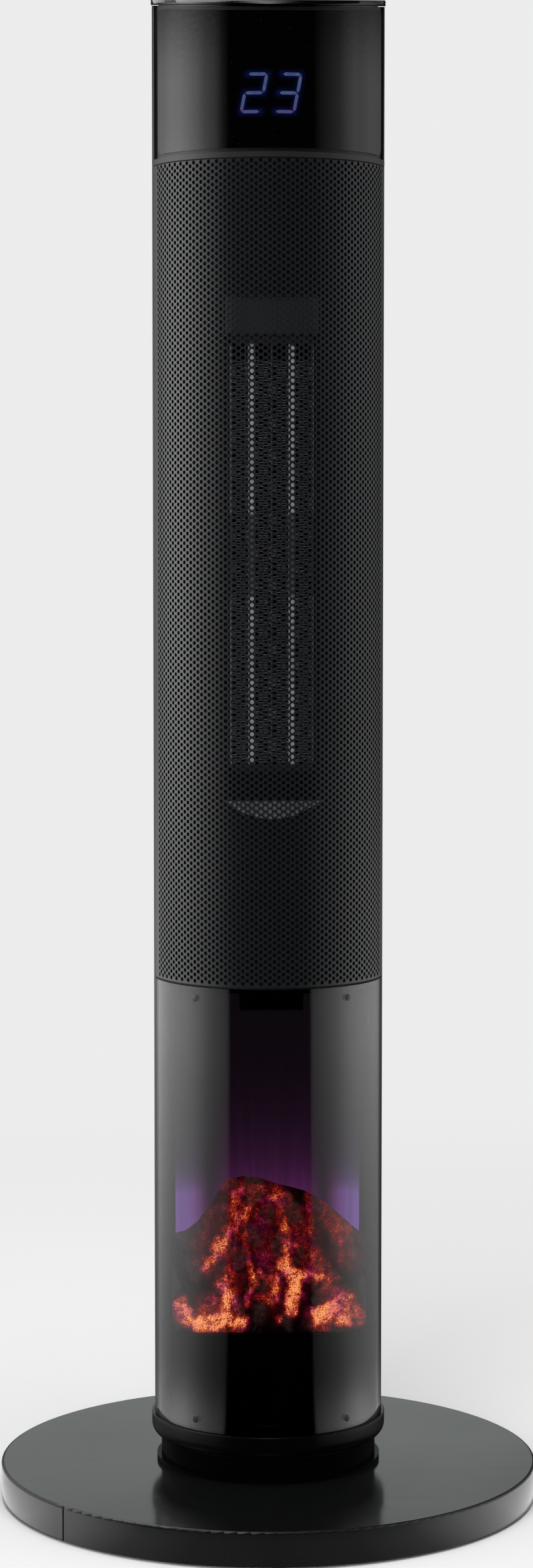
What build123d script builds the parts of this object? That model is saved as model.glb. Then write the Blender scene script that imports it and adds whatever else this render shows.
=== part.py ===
"""A tower fan heater with a flame window, as its separate pieces.

Millimetres, +Z up, the front of the heater towards -Y, the origin on the floor under the middle of the base.
"""

import os
from math import asin, cos, degrees, radians, sin, sqrt, tan

from build123d import *

# Directions in plan, in degrees from +X
FRONT = -90
BACK = 90

# Clearances, and how far a cut runs past what it cuts
seat_gap = 0.3
bearing_gap = 0.05
button_gap = 0.3
overrun = 2

# The whole heater
base_diameter = 310
column_diameter = 132
base_radius = base_diameter / 2
column_radius = column_diameter / 2

# Heights that stack up from the floor
foot_height = 1.5
base_height = 19.5
neck_height = 15.5
collar_height = 12.5
window_height = 254
grille_height = 460
trim_height = 3
base_top = foot_height + base_height
neck_top = base_top + neck_height
collar_top = neck_top + collar_height
window_top = collar_top + window_height
grille_top = window_top + grille_height
trim_top = grille_top + trim_height

# Base cover
cover_wall = 2.5
cover_ceiling = 3
cover_edge_radius = 1.5
cover_rib_width = 2
seam_angle = 49
seam_width = 0.7
seam_depth = 0.6

# Base plate, weight, feet and screws
plate_thickness = 2.5
weight_thickness = 5
weight_boss_gap = 4
weight_gland_gap = 3
foot_count = 5
foot_inset = 9
foot_radius = 6
foot_plug_radius = 2.5
base_screw_count = 5
base_screw_outset = 6.5
base_screw_radius = 1.8
base_screw_length = 9
screw_head_radius = 3.2
screw_head_height = 1.6
base_boss_radius = 5
foot_circle_radius = base_radius - foot_inset
plate_top = foot_height + plate_thickness
cover_inner_radius = base_radius - cover_wall

# Tip-over switch, which the floor holds pressed
plunger_place = (0, -50)
plunger_radius = 4
plunger_travel = 4
plunger_shoulder_radius = 5.6
plunger_shoulder_height = 1.5
guide_wall = 1.6
guide_height = 9
switch_box_length = 20
switch_box_width = 10
switch_box_height = 4.2

# Cord gland in the back of the base
gland_radius = 5
gland_flange_radius = 6.6
gland_flange_width = 2.4
gland_length = 12
gland_bore_radius = 3.6

# Neck and what turns on it
gasket_thickness = 0.8
neck_foot_radius = 64.5
base_screw_circle_radius = neck_foot_radius + base_screw_outset
weight_inner_radius = base_screw_circle_radius + base_boss_radius + weight_boss_gap
weight_outer_radius = base_radius - gland_length - weight_gland_gap
cover_rib_radius = (weight_inner_radius + weight_outer_radius - cover_rib_width) / 2
neck_foot_height = 2.2
neck_radius = 62
neck_wall = 3
neck_inner_flange_radius = 46
ledge_width = 6
ledge_height = 2
slide_ring_height = 1
swivel_plate_thickness = 3
swivel_plate_drop = 2.5
spindle_radius = 13
spindle_bore_radius = 9.5
spindle_rise = 10.5
washer_radius = 20
washer_thickness = 2

# Oscillation: the crank sits on the tower and its pin runs in the slot of the swivel plate
swing_half_angle = 30
crank_offset = 26
crank_throw = crank_offset * tan(radians(swing_half_angle))
crank_pin_radius = 2.5
crank_pin_rise = 6.5
crank_slot_gap = 1.3
crank_hub_radius = 6
crank_thickness = 2.8
crank_shaft_radius = 2.5
crank_shaft_length = 16

# Bottom collar
collar_radius = 67.5
collar_foot_radius = 64
collar_shoulder_height = 6
collar_lip_height = 3
collar_lip_fillet = 0.6
collar_wall = 5
collar_deck_rise = 3.5
collar_deck_thickness = 3
collar_hub_radius = 17

# Shells round the column
front_half_angle = 79
shell_step = 0.3
housing_wall = 2.4
glass_thickness = 2.5
grille_thickness = 0.8
liner_thickness = 2
head_height = 91
head_wall = 2
panel_thickness = 1.7
panel_half_angle = 70.6
panel_gap = 2
panel_corner_radius = 4
panel_proud = 0.2
trim_proud = 0.3
shell_radius = column_radius - shell_step
housing_inner_radius = shell_radius - housing_wall
housing_half_angle = BACK - FRONT - front_half_angle - degrees(seat_gap / column_radius)
glass_inner_radius = shell_radius - glass_thickness
liner_outer_radius = column_radius - grille_thickness - seat_gap
liner_inner_radius = liner_outer_radius - liner_thickness

# Coarse perforation of the grille and the sheet margin round it
perforation_half_angle = 60
perforation_columns = 11
perforation_rows = 12
perforation_width = 7
perforation_bar = 5
grille_margin = 12

# Air outlet behind the grille
outlet_half_width = 26
outlet_rise = 104.5
outlet_drop = 75.3
outlet_bottom = window_top + outlet_rise
outlet_top = grille_top - outlet_drop
outlet_lip_drop = 10
facet_thickness = 2
element_half_width = 23.6
element_rise = 17.2
element_drop = 22
element_bottom = outlet_bottom + element_rise
element_top = outlet_top - element_drop
facet_depth = sqrt(liner_outer_radius**2 - outlet_half_width**2)

# Heating element
cap_depth = 16
cap_overlap = 5
cap_height = 9
element_depth = 14
element_recess = 2
bar_width = 4.2
bar_place = 11.15
side_strip_width = 1.2
fin_thickness = 0.5
fin_pitch = 8
fin_clearance = 0.4
cutout_height = 46
cutout_middle = (element_bottom + element_top) / 2
cutout_width = 2
cutout_depth = 7

# Fan
fan_back_set = 14
fan_radius = 30
fan_blade_count = 24
fan_blade_length = 9
fan_blade_thickness = 1
fan_disc_thickness = 2
fan_disc_count = 3
fan_end_gap = 7
fan_bottom = outlet_bottom + fan_end_gap
fan_top = outlet_top - fan_end_gap
fan_hub_radius = 7
fan_hub_height = 8
fan_shaft_radius = 3
fan_shaft_tail = 14
fan_shaft_lead = 35
fan_shaft_bottom = fan_bottom - fan_shaft_tail
fan_shaft_top = fan_top + fan_shaft_lead
bush_radius = 6
bush_flange_radius = 9
bush_flange_height = 1.5
scroll_gap = 3
scroll_wall = 2
scroll_start_angle = 105
scroll_end_angle = 195
tongue_depth = 27
duct_half_width = 25

# Decks across the column
partition_thickness = 5
lower_deck_thickness = 3
upper_deck_thickness = 5
deck_rim = 2
wire_hole_radius = 6
wire_hole_place = (-48, 20)
motor_radius = 22
motor_height = 30
motor_foot_radius = 27
motor_foot_height = 2

# Rear intake, grip and switch
slot_columns = 13
slot_rows = 4
slot_width = 3
slot_height = 58
slot_row_pitch = 66
slot_half_angle = 48
filter_thickness = 0.8
grip_width = 84
grip_height = 28
grip_depth = 24
grip_wall = 2
grip_rise = 40
grip_middle = trim_top + grip_rise
rocker_rise = 29
rocker_middle = collar_top + rocker_rise
rocker_width = 19
rocker_height = 13
rocker_depth = 8
rocker_rim = 3
rocker_gap = 0.8
rocker_pivot_radius = 1.2
bezel_depth = 12
bezel_wall = 2

# Screws that hold the housing to the decks
housing_screw_angle = 35
housing_screw_radius = 1.4
housing_screw_length = 12
housing_screw_head_radius = 2.8
housing_screw_head_height = 1.2

# Flame chamber
tray_front = 28
tray_top_rise = 50
tray_wall = 2
bed_front = 24
bed_depth = 30
bed_lean = 12
bed_half_width = 55
bed_height = 88
bed_outline_shares = [
    (-1, 0.70),
    (-0.77, 0.77),
    (-0.45, 0.97),
    (-0.27, 1.0),
    (0.15, 0.9),
    (0.33, 0.91),
    (0.77, 0.82),
    (1, 0.68),
]
chamber_wall = 1.6
screen_half_width = 54
screen_edge = 12
screen_bow = 9
screen_thickness = 2
lamp_box_half_width = 17.5
lamp_box_height = 10
lamp_box_depth = 24
lamp_box_front = 56
strip_half_width = 48
strip_depth = 1.4
strip_height = 7

# Flame rotor behind the screen
rotor_back_set = 36
rotor_height = 44
rotor_radius = 8.5
rotor_shaft_radius = 1.5
rotor_half_length = 30
rotor_offset = 7
rotor_blade_count = 6
rotor_blade_thickness = 0.8
rotor_gap = 2
bracket_thickness = 2
bracket_depth = 10
flame_motor_radius = 7
flame_motor_length = 12

# Motor that swings the tower
swing_motor_radius = 24
swing_motor_height = 14
swing_motor_rise = 5
swing_ear_half_length = 34
swing_ear_width = 9
swing_ear_height = 2
swing_post_place = 30
swing_post_radius = 3.5

# Power board in the space under the fan
board_thickness = 1.6
power_board_width = 80
power_board_height = 80
power_board_back = 12
relay_size = (18, 14, 16)
relay_spacing = 24

# Head with display and top controls
cap_tilt = 8
cap_thickness = 3.3
cap_middle = trim_top + head_height
cap_recess = 0.8
cap_rim = 5
cap_radius = column_radius + panel_proud
cap_skirt_height = 5
cap_skirt_wall = 2
cap_edge_radius = 0.8
head_floor = 2
display_height = 30
display_width = 44
display_depth = 8
display_rise = 31.7
display_middle = trim_top + display_rise
control_board_drop = 9
control_board_width = 90
control_board_depth = 36
control_board_forward = 22
tact_size = 6
tact_height = 3.4
button_radius = 7
button_flange = 1.5
button_flange_height = 1
button_stem_radius = 2.5
button_circle_radius = 40
button_step_angle = 27
button_names = ["button_power", "button_heat", "button_timer", "button_swing", "button_flame"]
cap_post_radius = 3


def ring_sector(inner, outer, half_angle, facing):
    """A sector of a ring in plan, symmetrical about the direction that it faces."""
    with BuildSketch() as sector:
        with BuildLine() as outline:
            far = CenterArc((0, 0), outer, facing - half_angle, 2 * half_angle)
            near = CenterArc((0, 0), inner, facing - half_angle, 2 * half_angle)
            Line(far @ 0, near @ 0)
            Line(far @ 1, near @ 1)
        make_face(outline.edges())
    return sector.sketch


def ring(inner, outer):
    """A whole ring in plan."""
    with BuildSketch() as whole:
        Circle(outer)
        Circle(inner, mode=Mode.SUBTRACT)
    return whole.sketch


def flat_front_disc(radius, front):
    """A disc in plan whose front is cut straight."""
    with BuildSketch() as disc:
        Circle(radius)
        with Locations((0, -front - radius)):
            Rectangle(2 * radius, 2 * radius, mode=Mode.SUBTRACT)
    return disc.sketch


def write(builder, name):
    """Labels a finished piece and writes it under its name."""
    builder.part.label = name
    export_step(builder.part, f"parts/{name}.step")


os.makedirs("parts", exist_ok=True)


# Base cover: a gloss shell with screw bosses, a rib that holds the weight down and a joint line in its side
gland_height = plate_top + (base_top - cover_ceiling - plate_top) / 2
weight_top = plate_top + weight_thickness
cover_underside = base_top - cover_ceiling

with BuildPart() as base_cover:
    with BuildSketch(Plane.XY.offset(foot_height)):
        Circle(base_radius)
    extrude(amount=base_height)
    fillet(base_cover.edges().group_by(Axis.Z)[-1], cover_edge_radius)
    with BuildSketch(Plane.XY.offset(foot_height)):
        Circle(cover_inner_radius)
    extrude(amount=base_height - cover_ceiling, mode=Mode.SUBTRACT)
    with BuildSketch(Plane.XY.offset(weight_top)):
        add(ring(cover_rib_radius, cover_rib_radius + cover_rib_width))
    extrude(amount=cover_underside - weight_top)
    with BuildSketch(Plane.XY.offset(plate_top)):
        with PolarLocations(base_screw_circle_radius, base_screw_count):
            Circle(base_boss_radius)
    extrude(amount=cover_underside - plate_top)
    with BuildSketch(Plane.XY.offset(plate_top)):
        with PolarLocations(base_screw_circle_radius, base_screw_count):
            Circle(base_screw_radius + bearing_gap)
    extrude(amount=base_screw_length + seat_gap - plate_thickness, mode=Mode.SUBTRACT)
    with BuildSketch(Plane.XY.offset(cover_underside)):
        Circle(neck_inner_flange_radius)
    extrude(amount=cover_ceiling, mode=Mode.SUBTRACT)
    with BuildSketch(Plane.XZ.offset(-base_radius - overrun)):
        with Locations((0, gland_height)):
            Circle(gland_radius + seat_gap)
    extrude(amount=cover_wall + 2 * overrun, mode=Mode.SUBTRACT)
    seam = Plane.XY.offset(foot_height).rotated((0, 0, FRONT - seam_angle))
    with BuildSketch(seam):
        with Locations((base_radius, 0)):
            Rectangle(2 * seam_depth, seam_width)
    extrude(amount=base_height - cover_edge_radius, mode=Mode.SUBTRACT)
write(base_cover, "base_cover")


# Base plate with its feet holes, screw holes and the guide of the tip-over plunger
guide_bore = plunger_shoulder_radius + bearing_gap + seat_gap

with BuildPart() as base_plate:
    with BuildSketch(Plane.XY.offset(foot_height)):
        Circle(cover_inner_radius - seat_gap)
        with PolarLocations(foot_circle_radius, foot_count, start_angle=FRONT):
            Circle(foot_plug_radius + bearing_gap, mode=Mode.SUBTRACT)
        with PolarLocations(base_screw_circle_radius, base_screw_count):
            Circle(base_screw_radius + bearing_gap, mode=Mode.SUBTRACT)
        with Locations(plunger_place):
            Circle(plunger_radius + seat_gap, mode=Mode.SUBTRACT)
    extrude(amount=plate_thickness)
    with BuildSketch(Plane.XY.offset(foot_height)):
        with PolarLocations(base_screw_circle_radius, base_screw_count):
            Circle(screw_head_radius + bearing_gap)
    extrude(amount=screw_head_height, mode=Mode.SUBTRACT)
    with BuildSketch(Plane.XY.offset(plate_top)):
        with Locations(plunger_place):
            add(ring(guide_bore, guide_bore + guide_wall))
    extrude(amount=guide_height)
write(base_plate, "base_plate")


with BuildPart() as base_weight:
    with BuildSketch(Plane.XY.offset(plate_top)):
        add(ring(weight_inner_radius, weight_outer_radius))
    extrude(amount=weight_thickness)
write(base_weight, "base_weight")


with BuildPart() as base_feet:
    with BuildSketch():
        with PolarLocations(foot_circle_radius, foot_count, start_angle=FRONT):
            Circle(foot_radius)
    extrude(amount=foot_height)
    with BuildSketch(Plane.XY.offset(foot_height)):
        with PolarLocations(foot_circle_radius, foot_count, start_angle=FRONT):
            Circle(foot_plug_radius)
    extrude(amount=plate_thickness)
write(base_feet, "base_feet")


with BuildPart() as base_screws:
    with BuildSketch(Plane.XY.offset(foot_height)):
        with PolarLocations(base_screw_circle_radius, base_screw_count):
            Circle(screw_head_radius)
    extrude(amount=screw_head_height)
    with BuildSketch(Plane.XY.offset(foot_height)):
        with PolarLocations(base_screw_circle_radius, base_screw_count):
            Circle(base_screw_radius)
    extrude(amount=base_screw_length)
write(base_screws, "base_screws")


# Tip-over switch: the plunger stands on the floor and holds the switch shut
guide_top = plate_top + guide_height
shoulder_bottom = plate_top + plunger_travel + seat_gap

with BuildPart() as tip_over_switch:
    with BuildSketch(Plane.XY.offset(guide_top)):
        with Locations(plunger_place):
            Rectangle(switch_box_length, switch_box_width)
    extrude(amount=switch_box_height)
write(tip_over_switch, "tip_over_switch")


with BuildPart() as tip_over_plunger:
    with BuildSketch():
        with Locations(plunger_place):
            Circle(plunger_radius)
    extrude(amount=guide_top - seat_gap)
    with BuildSketch(Plane.XY.offset(shoulder_bottom)):
        with Locations(plunger_place):
            Circle(plunger_shoulder_radius)
    extrude(amount=plunger_shoulder_height)
write(tip_over_plunger, "tip_over_plunger")


# Cord gland: a short bush through the back wall, with its flange inside
gland_plane = Plane.XZ.offset(-cover_inner_radius + seat_gap)

with BuildPart() as cord_gland:
    with BuildSketch(gland_plane):
        with Locations((0, gland_height)):
            Circle(gland_flange_radius)
    extrude(amount=gland_flange_width)
    with BuildSketch(gland_plane.offset(-cover_wall)):
        with Locations((0, gland_height)):
            Circle(gland_radius)
    extrude(amount=gland_length)
    with BuildSketch(gland_plane.offset(-cover_wall - overrun)):
        with Locations((0, gland_height)):
            Circle(gland_bore_radius)
    extrude(amount=gland_length + 2 * overrun, mode=Mode.SUBTRACT)
write(cord_gland, "cord_gland")


# Neck: a gasket, the tube with its foot, the swivel plate inside it and the slide ring on its rim
neck_bottom = base_top + gasket_thickness
neck_rim = neck_top - slide_ring_height
neck_inner_radius = neck_radius - neck_wall
swivel_top = neck_rim - swivel_plate_drop
swivel_bottom = swivel_top - swivel_plate_thickness

with BuildPart() as neck_gasket:
    with BuildSketch(Plane.XY.offset(base_top)):
        add(ring(neck_inner_radius, neck_foot_radius))
    extrude(amount=gasket_thickness)
write(neck_gasket, "neck_gasket")


with BuildPart() as neck:
    with BuildSketch(Plane.XY.offset(neck_bottom)):
        add(ring(neck_inner_flange_radius, neck_foot_radius))
    extrude(amount=neck_foot_height)
    with BuildSketch(Plane.XY.offset(neck_bottom)):
        add(ring(neck_inner_radius, neck_radius))
    extrude(amount=neck_rim - neck_bottom)
    with BuildSketch(Plane.XY.offset(swivel_bottom - ledge_height)):
        add(ring(neck_inner_radius - ledge_width, neck_inner_radius))
    extrude(amount=ledge_height)
write(neck, "neck")


slot_near = crank_offset / cos(radians(swing_half_angle)) - crank_pin_radius - crank_slot_gap
slot_far = crank_offset + crank_throw + crank_pin_radius + crank_slot_gap
slot_half_width = crank_pin_radius + crank_slot_gap

with BuildPart() as swivel_plate:
    with BuildSketch(Plane.XY.offset(swivel_bottom)):
        Circle(neck_inner_radius - seat_gap)
        with Locations((0, (slot_near + slot_far) / 2)):
            SlotOverall(slot_far - slot_near, 2 * slot_half_width, rotation=BACK, mode=Mode.SUBTRACT)
    extrude(amount=swivel_plate_thickness)
    with BuildSketch(Plane.XY.offset(swivel_top)):
        Circle(spindle_radius)
    extrude(amount=spindle_rise + swivel_plate_drop)
    with BuildSketch(Plane.XY.offset(swivel_bottom)):
        Circle(spindle_bore_radius)
    extrude(amount=neck_height + collar_height, mode=Mode.SUBTRACT)
write(swivel_plate, "swivel_plate")


with BuildPart() as slide_ring:
    with BuildSketch(Plane.XY.offset(neck_rim)):
        add(ring(neck_inner_radius + seat_gap, neck_radius - seat_gap))
    extrude(amount=slide_ring_height)
write(slide_ring, "slide_ring")


# Bottom collar: rounded ring with a lip round the window, and the deck that turns on the spindle
deck_bottom = neck_top + collar_deck_rise
deck_top = deck_bottom + collar_deck_thickness
lip_inner_radius = shell_radius + seat_gap
ledge_level = collar_top - collar_lip_height
hub_bore = spindle_radius + bearing_gap
collar_inner_radius = collar_foot_radius - collar_wall

with BuildPart() as bottom_collar:
    with BuildSketch(Plane.XZ):
        with BuildLine():
            shoulder = (collar_radius, neck_top + collar_shoulder_height)
            Polyline(
                shoulder,
                (collar_radius, collar_top),
                (lip_inner_radius, collar_top),
                (lip_inner_radius, ledge_level),
                (collar_inner_radius, ledge_level),
                (collar_inner_radius, deck_top),
                (hub_bore, deck_top),
                (hub_bore, neck_top + seat_gap),
                (collar_hub_radius, neck_top + seat_gap),
                (collar_hub_radius, deck_bottom),
                (collar_inner_radius, deck_bottom),
                (collar_inner_radius, neck_top),
                (collar_foot_radius, neck_top),
            )
            TangentArc((collar_radius, shoulder[1]), (collar_foot_radius, neck_top), tangent=(0, -1))
        make_face()
    revolve(axis=Axis.Z)
    outer_rim = bottom_collar.edges().group_by(Axis.Z)[-1].sort_by(SortBy.RADIUS)[-1]
    fillet(outer_rim, collar_lip_fillet)
    with BuildSketch(Plane.XY.offset(deck_bottom)):
        with Locations((0, crank_offset)):
            Circle(crank_shaft_radius + seat_gap)
    extrude(amount=collar_deck_thickness, mode=Mode.SUBTRACT)
    with BuildSketch(Plane.XY.offset(deck_top)):
        with Locations((-swing_post_place, crank_offset), (swing_post_place, crank_offset)):
            Circle(swing_post_radius)
    extrude(amount=swing_motor_rise)
write(bottom_collar, "bottom_collar")


with BuildPart() as swivel_washer:
    with BuildSketch(Plane.XY.offset(deck_top + seat_gap)):
        add(ring(spindle_radius + bearing_gap, washer_radius))
    extrude(amount=washer_thickness)
write(swivel_washer, "swivel_washer")


# Crank: shaft up into the motor, arm under the deck, pin down through the slot
crank_top = deck_bottom - seat_gap
crank_bottom = crank_top - crank_thickness

with BuildPart() as swing_crank:
    with BuildSketch(Plane.XY.offset(crank_bottom)):
        with Locations((0, crank_offset)):
            Circle(crank_hub_radius)
        with Locations((0, crank_offset + crank_throw / 2)):
            Rectangle(2 * crank_pin_radius, crank_throw)
        with Locations((0, crank_offset + crank_throw)):
            Circle(crank_pin_radius)
    extrude(amount=crank_thickness)
    with BuildSketch(Plane.XY.offset(crank_bottom - crank_pin_rise)):
        with Locations((0, crank_offset + crank_throw)):
            Circle(crank_pin_radius)
    extrude(amount=crank_pin_rise)
    with BuildSketch(Plane.XY.offset(crank_top)):
        with Locations((0, crank_offset)):
            Circle(crank_shaft_radius)
    extrude(amount=crank_shaft_length)
write(swing_crank, "swing_crank")


# Swing motor on its two posts
ear_bottom = deck_top + swing_motor_rise

with BuildPart() as swing_motor:
    with BuildSketch(Plane.XY.offset(ear_bottom)):
        with Locations((0, crank_offset)):
            SlotOverall(2 * swing_ear_half_length, swing_ear_width)
    extrude(amount=swing_ear_height)
    with BuildSketch(Plane.XY.offset(ear_bottom)):
        with Locations((0, crank_offset)):
            Circle(swing_motor_radius)
    extrude(amount=swing_motor_height)
    fillet(swing_motor.edges().group_by(Axis.Z)[-1], cover_edge_radius)
    with BuildSketch(Plane.XY.offset(ear_bottom)):
        with Locations((0, crank_offset)):
            Circle(crank_shaft_radius + bearing_gap)
    extrude(amount=crank_top + crank_shaft_length + seat_gap - ear_bottom, mode=Mode.SUBTRACT)
write(swing_motor, "swing_motor")


# Rear housing: a C-shaped shell with intake slots, a switch opening and screw holes
cap_normal = (0, -sin(radians(cap_tilt)), cos(radians(cap_tilt)))
cap_plane = Plane((0, 0, cap_middle), x_dir=(1, 0, 0), z_dir=cap_normal)
cap_under = cap_plane.offset(-cap_thickness)
slot_middle = (fan_bottom + fan_top) / 2
partition_bottom = window_top - partition_thickness / 2
lower_deck_bottom = outlet_bottom - lower_deck_thickness
upper_deck_bottom = outlet_top
screw_levels = [partition_bottom + partition_thickness / 2, upper_deck_bottom + upper_deck_thickness / 2]
screw_angles = [BACK - housing_screw_angle, BACK + housing_screw_angle]
tall = cap_middle + column_radius


def radial_planes(radius):
    """Planes that face outwards at each housing screw."""
    return [
        Plane(
            (radius * cos(radians(angle)), radius * sin(radians(angle)), level),
            z_dir=(cos(radians(angle)), sin(radians(angle)), 0),
        )
        for level in screw_levels
        for angle in screw_angles
    ]


slot_step = 2 * slot_half_angle / (slot_columns - 1)

with BuildPart() as rear_housing:
    with BuildSketch(Plane.XY.offset(ledge_level)):
        add(ring_sector(housing_inner_radius, shell_radius, housing_half_angle, BACK))
    extrude(amount=trim_top - seat_gap - ledge_level)
    slot_levels = [slot_middle + (row - (slot_rows - 1) / 2) * slot_row_pitch for row in range(slot_rows)]
    with Locations(*[(0, 0, level) for level in slot_levels]):
        with PolarLocations(
            (housing_inner_radius + shell_radius) / 2,
            slot_columns,
            start_angle=BACK - slot_half_angle,
            angular_range=2 * slot_half_angle,
            endpoint=True,
        ):
            Box(housing_wall + 2 * overrun, slot_width, slot_height, mode=Mode.SUBTRACT)
    with Locations((0, column_radius, rocker_middle)):
        Box(
            rocker_width + 2 * (bezel_wall + rocker_gap + seat_gap),
            column_radius,
            rocker_height + 2 * (bezel_wall + rocker_gap + seat_gap),
            mode=Mode.SUBTRACT,
        )
    for plane in radial_planes(shell_radius):
        with BuildSketch(plane.offset(-housing_screw_head_height)):
            Circle(housing_screw_head_radius + bearing_gap)
        extrude(amount=housing_screw_head_height + overrun, mode=Mode.SUBTRACT)
        with BuildSketch(plane.offset(-housing_wall - overrun)):
            Circle(housing_screw_radius + bearing_gap)
        extrude(amount=housing_wall + overrun, mode=Mode.SUBTRACT)
write(rear_housing, "rear_housing")


# Rear shell of the head: it carries on the housing's round above the trim ring, with the grip opening
with BuildPart() as head_rear_shell:
    with BuildSketch(Plane.XY.offset(trim_top)):
        add(ring_sector(housing_inner_radius, shell_radius, housing_half_angle, BACK))
    extrude(amount=tall - trim_top)
    split(bisect_by=cap_under.offset(-seat_gap), keep=Keep.BOTTOM)
    with Locations((0, column_radius, grip_middle)):
        Box(grip_width + 2 * seat_gap, column_radius, grip_height + 2 * seat_gap, mode=Mode.SUBTRACT)
write(head_rear_shell, "head_rear_shell")


with BuildPart() as housing_screws:
    for plane in radial_planes(shell_radius - housing_screw_head_height):
        with BuildSketch(plane):
            Circle(housing_screw_head_radius)
        extrude(amount=housing_screw_head_height - seat_gap)
        with BuildSketch(plane):
            Circle(housing_screw_radius)
        extrude(amount=-housing_screw_length)
write(housing_screws, "housing_screws")


# Front grille: perforated sheet, here with coarse openings
sheet_half_angle = front_half_angle - degrees(seat_gap / column_radius)
grille_bottom = window_top + seat_gap
row_pitch = (grille_height - 2 * grille_margin) / perforation_rows
row_height = row_pitch - perforation_bar
row_levels = [window_top + grille_margin + (row + 0.5) * row_pitch for row in range(perforation_rows)]

with BuildPart() as front_grille:
    with BuildSketch(Plane.XY.offset(grille_bottom)):
        add(ring_sector(column_radius - grille_thickness, column_radius, sheet_half_angle, FRONT))
    extrude(amount=grille_height - seat_gap)
    with Locations(*[(0, 0, level) for level in row_levels]):
        with PolarLocations(
            column_radius - grille_thickness / 2,
            perforation_columns,
            start_angle=FRONT - perforation_half_angle,
            angular_range=2 * perforation_half_angle,
            endpoint=True,
        ):
            Box(grille_thickness + overrun, perforation_width, row_height, mode=Mode.SUBTRACT)
write(front_grille, "front_grille")


# Window glass, standing in the collar's lip, and the pins that hold its corners
pin_half_angle = 41
pin_radius = 2
pin_head_height = 1
pin_inset = 6.5
pin_levels = [collar_top + pin_inset, window_top - pin_inset]


def pin_planes(radius):
    """Planes that face outwards at each window pin."""
    return [
        Plane(
            (radius * cos(radians(angle)), radius * sin(radians(angle)), level),
            z_dir=(cos(radians(angle)), sin(radians(angle)), 0),
        )
        for level in pin_levels
        for angle in (FRONT - pin_half_angle, FRONT + pin_half_angle)
    ]


with BuildPart() as window_glass:
    with BuildSketch(Plane.XY.offset(ledge_level)):
        add(ring_sector(glass_inner_radius, shell_radius, sheet_half_angle, FRONT))
    extrude(amount=window_top - ledge_level)
write(window_glass, "window_glass")


with BuildPart() as window_pins:
    for plane in pin_planes(glass_inner_radius - bearing_gap):
        with BuildSketch(plane):
            Circle(pin_radius)
        extrude(amount=-pin_head_height)
write(window_pins, "window_pins")


# Partition deck over the flame chamber, with the flange that carries the outlet frame
flange_half_angle = front_half_angle - deck_rim

with BuildPart() as partition_deck:
    with BuildSketch(Plane.XY.offset(partition_bottom)):
        Circle(glass_inner_radius - seat_gap)
        with Locations(wire_hole_place):
            Circle(wire_hole_radius, mode=Mode.SUBTRACT)
    extrude(amount=partition_thickness)
    with BuildSketch(Plane.XY.offset(grille_bottom)):
        add(ring_sector(glass_inner_radius - overrun, liner_outer_radius, flange_half_angle, FRONT))
    extrude(amount=partition_bottom + partition_thickness - grille_bottom)
    for plane in radial_planes(shell_radius - housing_screw_head_height):
        with BuildSketch(plane):
            Circle(housing_screw_radius + bearing_gap)
        extrude(amount=-housing_screw_length - seat_gap, mode=Mode.SUBTRACT)
write(partition_deck, "partition_deck")


# Outlet frame: a sleeve behind the grille with a flat facet, the element's opening and a sloped lower lip
frame_bottom = partition_bottom + partition_thickness
facet_back = facet_depth - facet_thickness

with BuildPart() as outlet_frame:
    with BuildSketch(Plane.XY.offset(frame_bottom)):
        add(ring_sector(liner_inner_radius, liner_outer_radius, flange_half_angle, FRONT))
    extrude(amount=grille_top - frame_bottom)
    with BuildSketch(Plane.XY.offset(outlet_bottom - outlet_lip_drop)):
        with BuildLine() as facet_outline:
            corner_angle = degrees(asin(outlet_half_width / liner_outer_radius))
            bow = CenterArc((0, 0), liner_outer_radius, FRONT - corner_angle, 2 * corner_angle)
            Polyline(bow @ 0, (-outlet_half_width, -facet_back), (outlet_half_width, -facet_back), bow @ 1)
        make_face()
    extrude(amount=outlet_top - outlet_bottom + 2 * outlet_lip_drop)
    with BuildSketch(Plane.YZ.offset(-outlet_half_width - overrun)):
        with BuildLine():
            Polyline(
                (-facet_depth, outlet_top),
                (-facet_depth, outlet_bottom),
                (-liner_outer_radius, outlet_bottom - outlet_lip_drop),
                (-column_radius - overrun, outlet_bottom - outlet_lip_drop),
                (-column_radius - overrun, outlet_top),
                close=True,
            )
        make_face()
    extrude(amount=2 * (outlet_half_width + overrun), mode=Mode.SUBTRACT)
    with BuildSketch(Plane.XY.offset(element_bottom)):
        with Locations((0, -facet_depth)):
            Rectangle(2 * element_half_width, 2 * facet_thickness + 2 * overrun)
    extrude(amount=element_top - element_bottom, mode=Mode.SUBTRACT)
write(outlet_frame, "outlet_frame")


# Heating element: end caps behind the facet, two aluminium bars and four stacks of corrugated fin
cap_front = facet_back
element_front = cap_front - element_recess
cap_half_width = duct_half_width - seat_gap
bar_bottom = element_bottom - cap_overlap + cap_height
bar_top = element_top + cap_overlap - cap_height

with BuildPart() as ptc_end_caps:
    for level in (element_bottom - cap_overlap, bar_top):
        with BuildSketch(Plane.XY.offset(level)):
            with Locations((0, -cap_front + cap_depth / 2)):
                Rectangle(2 * cap_half_width, cap_depth)
        extrude(amount=cap_height)
write(ptc_end_caps, "ptc_end_caps")


with BuildPart() as ptc_bars:
    with BuildSketch(Plane.XY.offset(bar_bottom)):
        with Locations((0, -element_front + element_depth / 2)):
            with Locations((-bar_place, 0), (bar_place, 0)):
                Rectangle(bar_width, element_depth)
            strip_place = element_half_width - seat_gap - side_strip_width / 2
            with Locations((-strip_place, 0), (strip_place, 0)):
                Rectangle(side_strip_width, element_depth)
            Rectangle(side_strip_width, element_depth)
    extrude(amount=bar_top - bar_bottom)
write(ptc_bars, "ptc_bars")


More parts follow.
